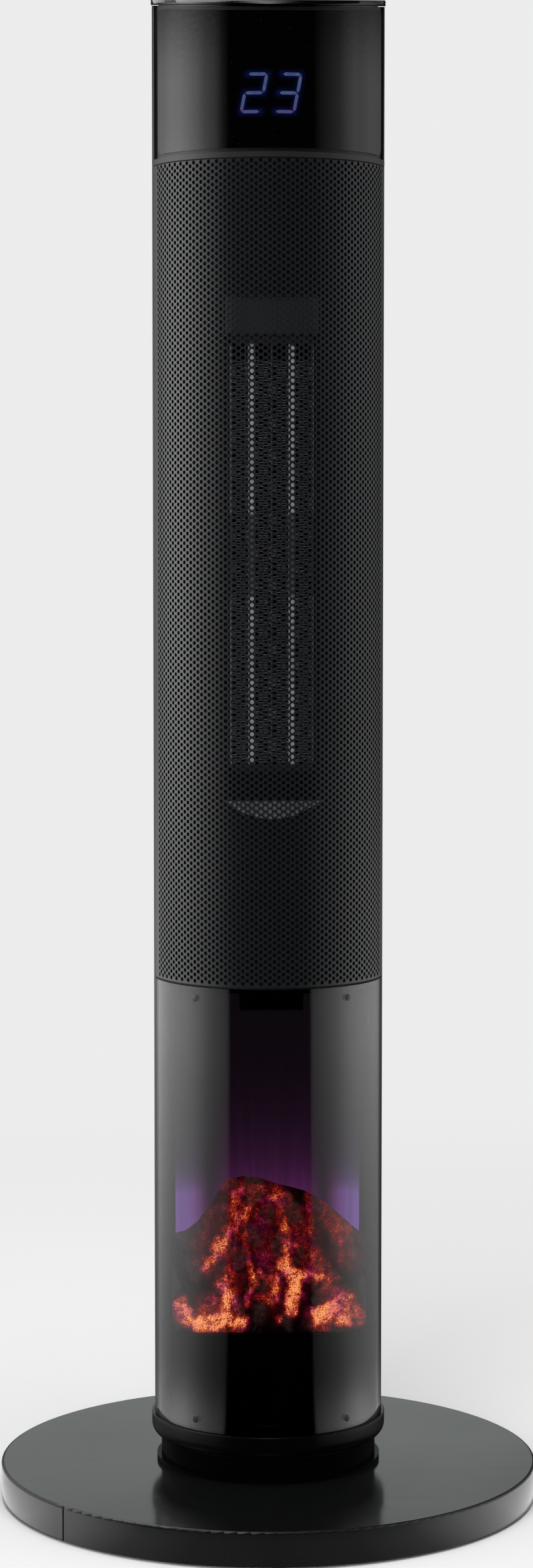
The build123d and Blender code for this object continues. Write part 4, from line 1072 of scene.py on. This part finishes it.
def smoked_glass(graph):
    print_haze = graph.noise(20, 3).rise(0.5, 0.8)
    return {
        "Base Color": colour(0.50, 0.50, 0.51),
        "Roughness": 0.015 + 0.03 * print_haze,
        "Transmission Weight": 1,
        "IOR": 1.5,
    }


dress(material("smoked_glass_sheet", smoked_glass), "smoked_glass", "window_glass")

# %% [markdown]
# ## Flame screen and its violet light
# Behind the embers stands a frosted screen. A strip of violet lamps at its foot lights it from below, so the colour is
# strongest low down and dies away upwards, and a slow rotor makes flames on it. Lighting it with real lamps through
# frosted plastic would take very many samples. The glow is written as light that the screen gives off, which falls
# with height, broken up by faint upright streaks.

# %% Screen and lamp strip
glow_base = 0.175


def frosted_screen(graph):
    x, y, z = graph.axes()
    streaks = graph.noise(1, 3, graph.stretched(420, 420, 26))
    near = 2.718 ** ((glow_base - z) * 62)
    far = 2.718 ** ((glow_base - z) * 22)
    low = (2.718 ** ((glow_base - z) * 130)).least(1.2)
    side = x.size().rise(33 * mm, 48 * mm)
    middle = x.size().rise(34 * mm, 22 * mm)
    level = ((0.85 * near + 0.15 * far) * (0.1 + 0.38 * middle) + 1.25 * low * side) * (0.6 + 0.8 * streaks)
    tint = graph.mix(side, colour(0.9, 0.16, 0.86), colour(0.46, 0.19, 0.85))
    black = colour(0.0055, 0.005, 0.0055)
    return {
        "Base Color": graph.mix(streaks, colour(0.004, 0.0035, 0.005), colour(0.008, 0.006, 0.009)),
        "Roughness": 0.6 + 0.2 * streaks,
        "Specular IOR Level": 0.1,
        "Emission Color": graph.mix(level * 0.3, black, tint),
        "Emission Strength": 1,
        "Normal": graph.bump(streaks, 0.2, 0.1 * mm),
    }


def lamp_strip(graph):
    x, _, _ = graph.axes()
    lamps_on = (x * (pi / (8 * mm))).sine().size().rise(0.75, 0.95)
    return {
        "Base Color": graph.mix(lamps_on, colour(0.02, 0.03, 0.02), colour(0.6, 0.5, 0.7)),
        "Roughness": 0.4,
        "Emission Color": graph.mix(lamps_on, colour(0.02, 0.004, 0.03), colour(0.6, 0.12, 1.0)),
        "Emission Strength": 3,
    }


dress(material("frosted_screen_skin", frosted_screen), "frosted_screen", "flame_screen")
dress(material("violet_lamps", lamp_strip), "circuit_board", "violet_led_strip")

# %% [markdown]
# ## Ember bed
# The embers are one moulding of clear resin, painted as ash and coal and lit from below, so that it glows where the
# paint is thin: in the cracks between the lumps and in a few large patches near the bottom. Sculpting by hand can't be
# written down, so the bed is a sheet of points that is pushed out by lump-shaped noise. The same numbers that carve a
# crack also store how strongly it glows, so the light always sits in the relief.

# %% Shape of the bed
bed_low, bed_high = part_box("ember_bed")
bed_half_width = bed_high.x
crest_line = [
    (-55, 0.62), (-48, 0.64), (-41, 0.70), (-35, 0.79), (-29, 0.90), (-24, 0.98), (-15, 1.0), (-5, 0.985), (5, 0.95),
    (15, 0.92), (21, 0.90), (29, 0.85), (36, 0.79), (43, 0.72), (49, 0.66), (55, 0.61),
]
bed_rows = 170
bed_columns = 230


def crest(x):
    """The height of the bed's outline above the tray, in metres."""
    places = [p * mm for p, _ in crest_line]
    return float(np.interp(x, places, [s for _, s in crest_line])) * (bed_high.z - bed_low.z)


def lumps(x, z, size, seed):
    """Distance from the nearest lump's middle and from the crack beside it, both as shares of the lump's size."""
    distances, _ = noise.voronoi(Vector((x / size, seed, z / (1.35 * size))))
    return distances[0], distances[1] - distances[0]


# %% Where the bed glows
# Each stroke runs through given points, as (x, height above the tray, strength) in mm.
glow_strokes = [
    (9, [(-40, 12, 0.4), (-28, 16, 0.42), (-22, 40, 0.3), (-22, 70, 0.3)]),
    (8, [(16, 66, 0.25), (24, 44, 0.34), (36, 22, 0.4), (46, 14, 0.35)]),
    (5, [(-21, 84, 0.45), (-18.5, 66, 0.5), (-24.5, 55, 0.62), (-31, 43, 0.64), (-37, 38, 0.5), (-41, 40, 0.3)]),
    (4.5, [(-51, 16, 0.8), (-47, 9, 1.15), (-38.5, 5, 1.3), (-28.5, 5.5, 1.3), (-17, 6, 1.05)]),
    (5, [(-27.5, 29, 0.8), (-24.7, 21, 1.0), (-22.5, 14, 1.1), (-27, 7, 1.1)]),
    (3, [(-6.5, 81, 0.45), (-14, 67, 0.5), (-14, 55, 0.35), (-12.5, 46, 0.3), (-10, 34, 0.65), (-10, 26, 0.6), (-14, 17, 0.35)]),
    (4, [(-25, 83, 0.4), (-13, 82, 0.45), (-1.5, 80, 0.4), (8, 76, 0.55)]),
    (4.5, [(8, 76, 0.5), (7, 64, 0.42), (12, 50, 0.66), (8, 41, 0.8), (13.7, 32, 1.15), (14.5, 22, 1.2), (12, 14, 0.9)]),
    (4, [(14.5, 33, 1.0), (24, 34, 0.66), (36, 30, 0.58)]),
    (4, [(-4, 33, 0.5), (3.5, 31.5, 0.5), (2.7, 21, 0.55), (-5.5, 20, 0.3)]),
    (3, [(5.3, 7, 0.5), (8.6, 11, 0.35)]),
    (6, [(29, 8, 1.15), (35.7, 12, 1.3), (41.6, 16.5, 0.95)]),
    (4, [(41.6, 16.5, 0.85), (47.5, 11.5, 0.55), (52, 8, 0.5), (39, 7, 0.8)]),
    (3, [(24.5, 76, 0.4), (23, 58, 0.35)]),
    (9, [(32, 72, 0.26), (41, 58, 0.34), (44, 44, 0.28)]),
    (8, [(-33, 66, 0.22), (-40, 50, 0.22)]),
    (3, [(37, 68, 0.35), (40, 61, 0.4)]),
    (3, [(46, 56, 0.4), (48.5, 52, 0.3)]),
    (12, [(-2, 78, 0.26), (-6, 55, 0.24), (0, 40, 0.26), (2, 22, 0.2)]),
]


def glow_field(x, height):
    """How strongly the lamps behind this place of the bed shine, from 0 to about 1.2."""
    wander = noise.noise_vector(Vector((x * 140, height * 140, 2.5))) * 3.2
    wander += noise.noise_vector(Vector((x * 420, height * 420, 7.5))) * 1.3
    here = Vector((x / mm + wander.x, height / mm + wander.y))
    brightest = 0
    for width, stroke in glow_strokes:
        for (x0, h0, s0), (x1, h1, s1) in zip(stroke, stroke[1:]):
            start, along = Vector((x0, h0)), Vector((x1 - x0, h1 - h0))
            share = min(max((here - start).dot(along) / along.length_squared, 0), 1)
            gap = (here - start - along * share).length
            brightest = max(brightest, (s0 + (s1 - s0) * share) * 2.718 ** (-((gap / width) ** 2)))
    return brightest


bed_points, bed_glow, bed_ash = [], [], []
depth_range = bed_high.y - bed_low.y
for row in range(bed_rows):
    turn = row / (bed_rows - 1)
    for column in range(bed_columns):
        x = -bed_half_width + 2 * bed_half_width * column / (bed_columns - 1)
        top = crest(x)
        climb = min(turn / 0.72, 1)
        past = max((turn - 0.72) / 0.28, 0)
        height = top * (sin(climb * pi / 2) ** 0.8 if past == 0 else cos(past * pi / 2) ** 0.6)
        depth = 0.05 + 0.55 * (1 - cos(climb * pi / 2)) + 0.36 * sin(past * pi / 2)
        near_big, crack_big = lumps(x, height, 15 * mm, 3.7)
        near_small, crack_small = lumps(x, height, 6.5 * mm, 9.1)
        rough = noise.fractal(Vector((x, height, 0.3)) * 260, 0.9, 2.1, 4)
        relief = 0.62 * min(crack_big * 2.2, 1) + 0.3 * min(crack_small * 2.2, 1) + 0.09 * rough
        out = (relief - 0.55) * 4.6 * mm * (1 - past)
        y = min(max(bed_low.y + depth * depth_range - out, bed_low.y + 0.2 * mm), bed_high.y - 0.2 * mm)
        z = bed_low.z + height + 0.25 * out * climb * (1 if 0 < turn < 1 else 0)
        bed_points.append((x, y, min(z, bed_high.z - 0.1 * mm)))
        crack = 1 - min(crack_big * 3.0, 1)
        vein = 1 - min(crack_small * 3.2, 1)
        lit = glow_field(x, height)
        bed_glow.append(max(lit * (0.62 + 0.45 * crack + 0.3 * vein + 0.5 * rough), 0))
        bed_ash.append(min(max(relief, 0), 1))
bed_faces = grid_faces(bed_rows, bed_columns)
print("ember bed points:", len(bed_points))

# %% Closing the bed below and at its two ends
back_row = (bed_rows - 1) * bed_columns
for column in range(bed_columns - 1):
    bed_faces.append((column + 1, column, back_row + column, back_row + column + 1))
bed_faces.append(tuple(row * bed_columns for row in range(bed_rows)))
bed_faces.append(tuple(row * bed_columns + bed_columns - 1 for row in reversed(range(bed_rows))))


def ember_skin(graph):
    glow = graph.node("ShaderNodeAttribute", {"attribute_name": "glow"}, output="Fac")
    relief = graph.node("ShaderNodeAttribute", {"attribute_name": "relief"}, output="Fac")
    fine = graph.noise(640, 6, roughness=0.75)
    flecks = graph.noise(1350, 4, roughness=0.72)
    ash = graph.mix(fine, colour(0.022, 0.017, 0.015), colour(0.13, 0.10, 0.085))
    coal = graph.mix(flecks, colour(0.003, 0.0025, 0.0025), colour(0.018, 0.012, 0.011))
    heat = glow * (0.1 + 1.75 * fine) * (0.2 + 1.55 * flecks.rise(0.3, 0.7))
    orange_stops = [
        (0.0, colour(0, 0, 0)), (0.1, colour(0.011, 0.0005, 0.001)), (0.27, colour(0.062, 0.0018, 0.003)),
        (0.45, colour(0.22, 0.009, 0.006)), (0.66, colour(0.46, 0.042, 0.012)), (0.86, colour(0.78, 0.16, 0.04)),
        (1.0, colour(1.0, 0.36, 0.13)),
    ]
    crimson_stops = [
        (0.0, colour(0, 0, 0)), (0.2, colour(0.03, 0.0008, 0.006)), (0.5, colour(0.22, 0.006, 0.034)),
        (0.75, colour(0.48, 0.03, 0.07)), (1.0, colour(0.85, 0.22, 0.13)),
    ]
    orange = graph.node("ShaderNodeValToRGB", {"stops": orange_stops}, {"Fac": heat})
    crimson = graph.node("ShaderNodeValToRGB", {"stops": crimson_stops}, {"Fac": heat})
    ramp = graph.mix(graph.noise(110, 2).rise(0.5, 0.64), orange, crimson)
    raised = relief.rise(0.3, 0.75)
    seeping = graph.mix(raised * fine.rise(0.3, 0.8), colour(0, 0, 0), colour(0.03, 0.018, 0.014))
    light = graph.vector("ADD", ramp, seeping)
    return {
        "Base Color": graph.mix(raised, coal, ash),
        "Roughness": 0.75 + 0.15 * fine,
        "Emission Color": light,
        "Emission Strength": 2.1,
        "Normal": graph.bump(fine, 0.5, 0.5 * mm),
    }


ember_bed = piece("ember_bed_relief", bed_points, bed_faces, material("ember_resin_skin", ember_skin), 60)
for name, values in (("glow", bed_glow), ("relief", bed_ash)):
    attribute = ember_bed.data.attributes.new(name, "FLOAT", "POINT")
    attribute.data.foreach_set("value", np.array(values, np.float32))
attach(ember_bed, "tower")
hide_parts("ember_bed")

# %% [markdown]
# ## Figures on the head panel
# The temperature shines through the dead-front panel as two seven-segment figures. A text object would give a
# typeface. The segments are simple six-sided bars on a slanted frame, so they are built from their own corner points
# and rolled on to the panel. The soft halo round them is light in the panel's own finish.

# %% Seven-segment figures
panel_face = 66.2 * mm
figure_height = 20.3 * mm
figure_width = 10.2 * mm
figure_slant = 0.2
stroke = 1.75 * mm
figure_bottom = 787.4 * mm
figure_places = {"2": -10.1 * mm, "3": 8.8 * mm}
figure_segments = {"2": "abged", "3": "abgcd"}
segment_ends = {
    "a": ((0, 1), (1, 1)),
    "b": ((1, 0.5), (1, 1)),
    "c": ((1, 0), (1, 0.5)),
    "d": ((0, 0), (1, 0)),
    "e": ((0, 0), (0, 0.5)),
    "g": ((0, 0.5), (1, 0.5)),
}


def rolled_plate(outlines, radius, depth):
    """Points and faces of thin plates on the round front, from flat outlines of (distance round, height) points.

    An outline is a pair of equally long edges, the lower and the upper one, so that it can follow the curve."""
    points, faces = [], []
    for lower, upper in outlines:
        first, count = len(points), len(lower)
        for r in (radius, radius - depth):
            for edge in (lower, upper):
                points += [(r * sin(u / radius), -r * cos(u / radius), z) for u, z in edge]
        for k in range(count - 1):
            a = first + k
            faces.append((a, a + 1, a + count + 1, a + count))
            faces.append((a + 2 * count, a + 3 * count, a + 3 * count + 1, a + 2 * count + 1))
            faces.append((a, a + 2 * count, a + 2 * count + 1, a + 1))
            faces.append((a + count, a + count + 1, a + 3 * count + 1, a + 3 * count))
        for k in (0, count - 1):
            a = first + k
            end = (a, a + count, a + 3 * count, a + 2 * count)
            faces.append(end if k == 0 else end[::-1])
    return points, faces


def corner_of(figure, u, v):
    """A corner of a figure, as (distance round, height) in metres."""
    return (
        figure_places[figure] + (u - 0.5) * figure_width + figure_slant * (v - 0.5) * figure_height,
        figure_bottom + v * figure_height,
    )


def segment_outline(figure, start, end):
    """A bar with pointed ends between two corners of a figure."""
    corners = [Vector(corner_of(figure, u, v)) for u, v in (start, end)]
    along = (corners[1] - corners[0]).normalized()
    across = Vector((-along.y, along.x)) * stroke / 2
    length = (corners[1] - corners[0]).length
    lower, upper = [], []
    for share in (0, 0.12, 0.3, 0.5, 0.7, 0.88, 1):
        reach = min(share, 1 - share) * length
        half = max(min((reach - 0.25 * mm) / (0.55 * stroke), 1), 0.06)
        place = corners[0] + along * (0.25 * mm + share * (length - 0.5 * mm))
        lower.append(place - across * half)
        upper.append(place + across * half)
    return lower, upper


def lit_segment(graph):
    _, _, z = graph.axes()
    cloud = graph.noise(420, 2)
    low = z.rise(0.803, 0.787)
    violet = low * cloud.rise(0.35, 0.6)
    blue = graph.mix(cloud.rise(0.4, 0.6), colour(0.026, 0.048, 0.17), colour(0.042, 0.078, 0.16))
    return {
        "Base Color": graph.mix(cloud, grey(0.01), grey(0.02)),
        "Roughness": 0.25,
        "Emission Color": graph.mix(violet, blue, colour(0.05, 0.036, 0.15)),
        "Emission Strength": 1,
    }


segment_finish = material("lit_segments", lit_segment)
for figure, letters in figure_segments.items():
    outlines = [segment_outline(figure, *segment_ends[letter]) for letter in letters]
    digit = piece(f"display_figure_{figure}", *rolled_plate(outlines, panel_face + 0.03 * mm, 0.4 * mm), segment_finish)
    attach(digit, "tower")
    print("figure", figure, "with", len(outlines), "lit segments")

# %% Halo in the panel round the figures
halo_spread = 1.9 * mm


def halo_panel(graph):
    """The gloss black, with a faint blue light in it that fades away from the nearest lit segment."""
    sockets = gloss_black(graph)
    x, y, z = graph.axes()
    around = x.turn_from(0 - y) * panel_face
    nearest = None
    for figure, letters in figure_segments.items():
        for letter in letters:
            (u0, z0), (u1, z1) = [corner_of(figure, *end) for end in segment_ends[letter]]
            run, climb = u1 - u0, z1 - z0
            share = ((around - u0) * run + (z - z0) * climb) / (run * run + climb * climb)
            share = share.largest(0).least(1)
            aside, above = around - u0 - share * run, z - z0 - share * climb
            square = aside * aside + above * above
            nearest = nearest.least(square) if nearest else square
    halo = (nearest**0.5).bell(halo_spread)
    sockets["Emission Color"] = graph.mix(halo, colour(0, 0, 0), colour(0.002, 0.004, 0.032))
    sockets["Emission Strength"] = 1
    return sockets


dress(material("head_panel_skin", halo_panel), "gloss_black_plastic", "head_panel")

# %% [markdown]
# ## Marks on the buttons and the mains switch
# Each touch button has a small printed symbol, and the mains switch has its bar and ring. They could be painted by a
# texture, but then each needs its own picture. As thin plates they stay sharp at any size. A ray sent on to the solid
# finds the spot and its slope, and the plate is laid there in the surface's own plane.

# %% Printed lines on a surface


def surface_frame(solid, above, towards):
    """Where a ray meets a solid, with the two directions along its surface and the one away from it."""
    found, spot, away, _ = solid.ray_cast(Vector(above), Vector(towards))
    assert found, solid.name
    across = Vector((1, 0, 0)) if away.y < 0.7 else Vector((-1, 0, 0))
    across = (across - away * across.dot(away)).normalized()
    return spot, across, away.cross(across), away


def printed_lines(frame_here, lines, width, proud=0.04 * mm, sunk=0.3 * mm):
    """Points and faces of lines in mm in a surface's own plane. A line is closed when it ends where it starts."""
    spot, across, up, away = frame_here
    points, faces = [], []
    for line in lines:
        flat = [Vector(p) * mm for p in line]
        closed = (flat[0] - flat[-1]).length < 0.01 * mm
        flat = flat[:-1] if closed else flat
        count, first = len(flat), len(points)
        for k, here in enumerate(flat):
            before = flat[k - 1] if k or closed else here
            after = flat[(k + 1) % count] if k < count - 1 or closed else here
            ahead, behind = (after - here), (here - before)
            ahead = ahead.normalized() if ahead.length else behind.normalized()
            behind = behind.normalized() if behind.length else ahead
            middle = (ahead + behind).normalized()
            reach = width / 2 / max(middle.dot(ahead), 0.4)
            side = Vector((-middle.y, middle.x)) * reach
            for place, lift in ((here + side, proud), (here - side, proud), (here - side, -sunk), (here + side, -sunk)):
                points.append(spot + across * place.x + up * place.y + away * lift)
        for k in range(count if closed else count - 1):
            a, b = first + 4 * k, first + 4 * ((k + 1) % count)
            for i in range(4):
                j = (i + 1) % 4
                faces.append((a + i, a + j, b + j, b + i))
        if not closed:
            last = first + 4 * (count - 1)
            faces.append(tuple(first + i for i in (3, 2, 1, 0)))
            faces.append(tuple(last + i for i in range(4)))
    return points, faces


def arc(radius, start, end, steps=24, middle=(0, 0)):
    """Points of an arc in mm, its angles in degrees from the right, anticlockwise."""
    return [(middle[0] + radius * cos(a), middle[1] + radius * sin(a)) for a in np.radians(np.linspace(start, end, steps))]


def white_print(graph):
    ink = graph.noise(2600, 2)
    return {
        "Base Color": graph.mix(ink, grey(0.30), grey(0.45)),
        "Roughness": 0.45 + 0.2 * ink,
        "Normal": graph.bump(ink, 0.1, 0.02 * mm),
    }


print_finish = material("white_print", white_print)

# %% Symbols of the five buttons
wave = [(0.7 * sin(t * 1.5), -2.6 + 1.3 * t) for t in np.linspace(0, 4, 17)]
flame_line = [
    (0, 3.6), (0.9, 2.3), (2.2, 0.9), (2.6, -0.8), (1.9, -2.4), (0, -3.3), (-1.9, -2.4), (-2.6, -0.8), (-1.7, 0.8),
    (-1.2, 0.2), (-0.6, 1.6), (0, 3.6),
]
symbols = {
    "power": [arc(3, 125, 415), [(0, 1.2), (0, 3.9)]],
    "heat": [[(x + shift, y) for x, y in wave] for shift in (-2.2, 0, 2.2)],
    "timer": [arc(3.2, 0, 360), [(0, 2), (0, 0), (1.6, 0)]],
    "swing": [arc(3.2, 200, 340), [(-4, 0.6), (-3.05, -1.1), (-1.5, -0.1)], [(4, 0.6), (3.05, -1.1), (1.5, -0.1)]],
    "flame": [flame_line],
}
for label, lines in symbols.items():
    button = nodes[f"button_{label}"]
    low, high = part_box(button.name)
    middle_of_button = (low + high) / 2
    here = surface_frame(button, (middle_of_button.x, middle_of_button.y, high.z + 0.05), (0, 0, -1))
    symbol = piece(f"symbol_{label}", *printed_lines(here, lines, 0.6 * mm), print_finish)
    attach(symbol, f"button_{label}")
    print(label, "symbol at", [round(v / mm, 1) for v in here[0]], "slope", round(degrees(here[3].angle(Vector((0, 0, 1)))), 1))

# %% Bar and ring of the mains switch
rocker_low, rocker_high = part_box("mains_rocker")
rocker_level = (rocker_low.z + rocker_high.z) / 2
for label, place, lines in (("bar", -5.6, [[(0, -2.2), (0, 2.2)]]), ("ring", 5.6, [arc(2, 0, 360)])):
    here = surface_frame(nodes["mains_rocker"], (place * mm, rocker_high.y + 0.05, rocker_level), (0, -1, 0))
    mark = piece(f"switch_{label}", *printed_lines(here, lines, 0.7 * mm), print_finish)
    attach(mark, "mains_rocker")
    print(label, "at", [round(v / mm, 1) for v in here[0]])


def button_plastic(graph):
    grain = graph.noise(2900, 2)
    touched = graph.noise(70, 3).rise(0.45, 0.8)
    return {
        "Base Color": graph.mix(touched, colour(0.010, 0.010, 0.011), colour(0.016, 0.016, 0.016)),
        "Roughness": 0.42 + 0.1 * grain - 0.15 * touched,
        "Normal": graph.bump(grain, 0.12, 0.05 * mm),
    }


dress(
    material("button_skin", button_plastic), "button_plastic", "mains_rocker", "button_power", "button_heat",
    "button_timer", "button_swing", "button_flame",
)

# %% [markdown]
# ## Small heads: rivets of the thermal cutout and caps of the window's pins
# A small plate beside the element holds the cutout, fixed with four rivets that catch the light through the sheet. The
# window glass is held at its corners by four pins, whose round caps lie on the glass. Each head is a low dome, turned
# from its outline round its own axis, so one helper that takes a place and a direction makes them all.

# %% A low dome


def domed_head(middle, away, radius, height):
    """Points and faces of a low dome on a surface that faces away, closed at its back."""
    away = Vector(away).normalized()
    side = away.cross(Vector((0, 0, 1))).normalized()
    up = side.cross(away)
    rings, steps = 5, 16
    points, faces = [], []
    for ring_index in range(rings):
        turn = pi / 2 * ring_index / rings
        for k in range(steps):
            a = 2 * pi * k / steps
            flat = (side * cos(a) + up * sin(a)) * radius * cos(turn)
            points.append(Vector(middle) + flat + away * height * sin(turn))
    tip = len(points)
    points.append(Vector(middle) + away * height)
    for ring_index in range(rings - 1):
        for k in range(steps):
            a, b = ring_index * steps + k, ring_index * steps + (k + 1) % steps
            faces.append((a, b, b + steps, a + steps))
    for k in range(steps):
        faces.append(((rings - 1) * steps + k, (rings - 1) * steps + (k + 1) % steps, tip))
    faces.append(tuple(reversed(range(steps))))
    return points, faces


def domes(name, places, radius, height, finish):
    """One piece from a dome at each (middle, away)."""
    points, faces = [], []
    for middle, away in places:
        head_points, head_faces = domed_head(middle, away, radius, height)
        faces += [tuple(len(points) + i for i in face) for face in head_faces]
        points += head_points
    made = piece(name, points, faces, finish, 60)
    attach(made, "tower")
    return made


# %% Rivets
rivet_levels = [562.7, 554.6, 529.8, 523.9]
plate_low, plate_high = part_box("thermal_cutout")
plate_middle = (plate_low.x + plate_high.x) / 2
rivet_places = [((plate_middle, plate_low.y + 0.02 * mm, level * mm), (0, -1, 0)) for level in rivet_levels]
rivets = domes("cutout_rivets", rivet_places, 0.95 * mm, 0.5 * mm, material("bright_rivet", plated_steel))

# %% Caps of the window's pins
glass_low, glass_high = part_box("window_glass")
glass_face = -glass_low.y - 0.05 * mm
pin_angle = radians(41)
pin_levels = (55.5 * mm, 296.5 * mm)
pin_places = [
    ((side * glass_face * sin(pin_angle), -glass_face * cos(pin_angle), level), (side * sin(pin_angle), -cos(pin_angle), 0))
    for side in (-1, 1)
    for level in pin_levels
]
pin_caps = domes("window_pin_caps", pin_places, 2 * mm, 0.28 * mm, material("pin_cap_satin", satin_black))
print("rivets:", len(rivet_places), "pin caps:", len(pin_places), "glass face in mm:", round(glass_face / mm, 2))

# %% [markdown]
# ## What is left
# A solid without a finish would come out plain white. The last cell looks for such solids.

# %% Solids without a finish
hidden = {"front_grille", "ptc_fins", "ember_bed"}
print("without a finish:", sorted(set(nodes) - dressed - hidden))
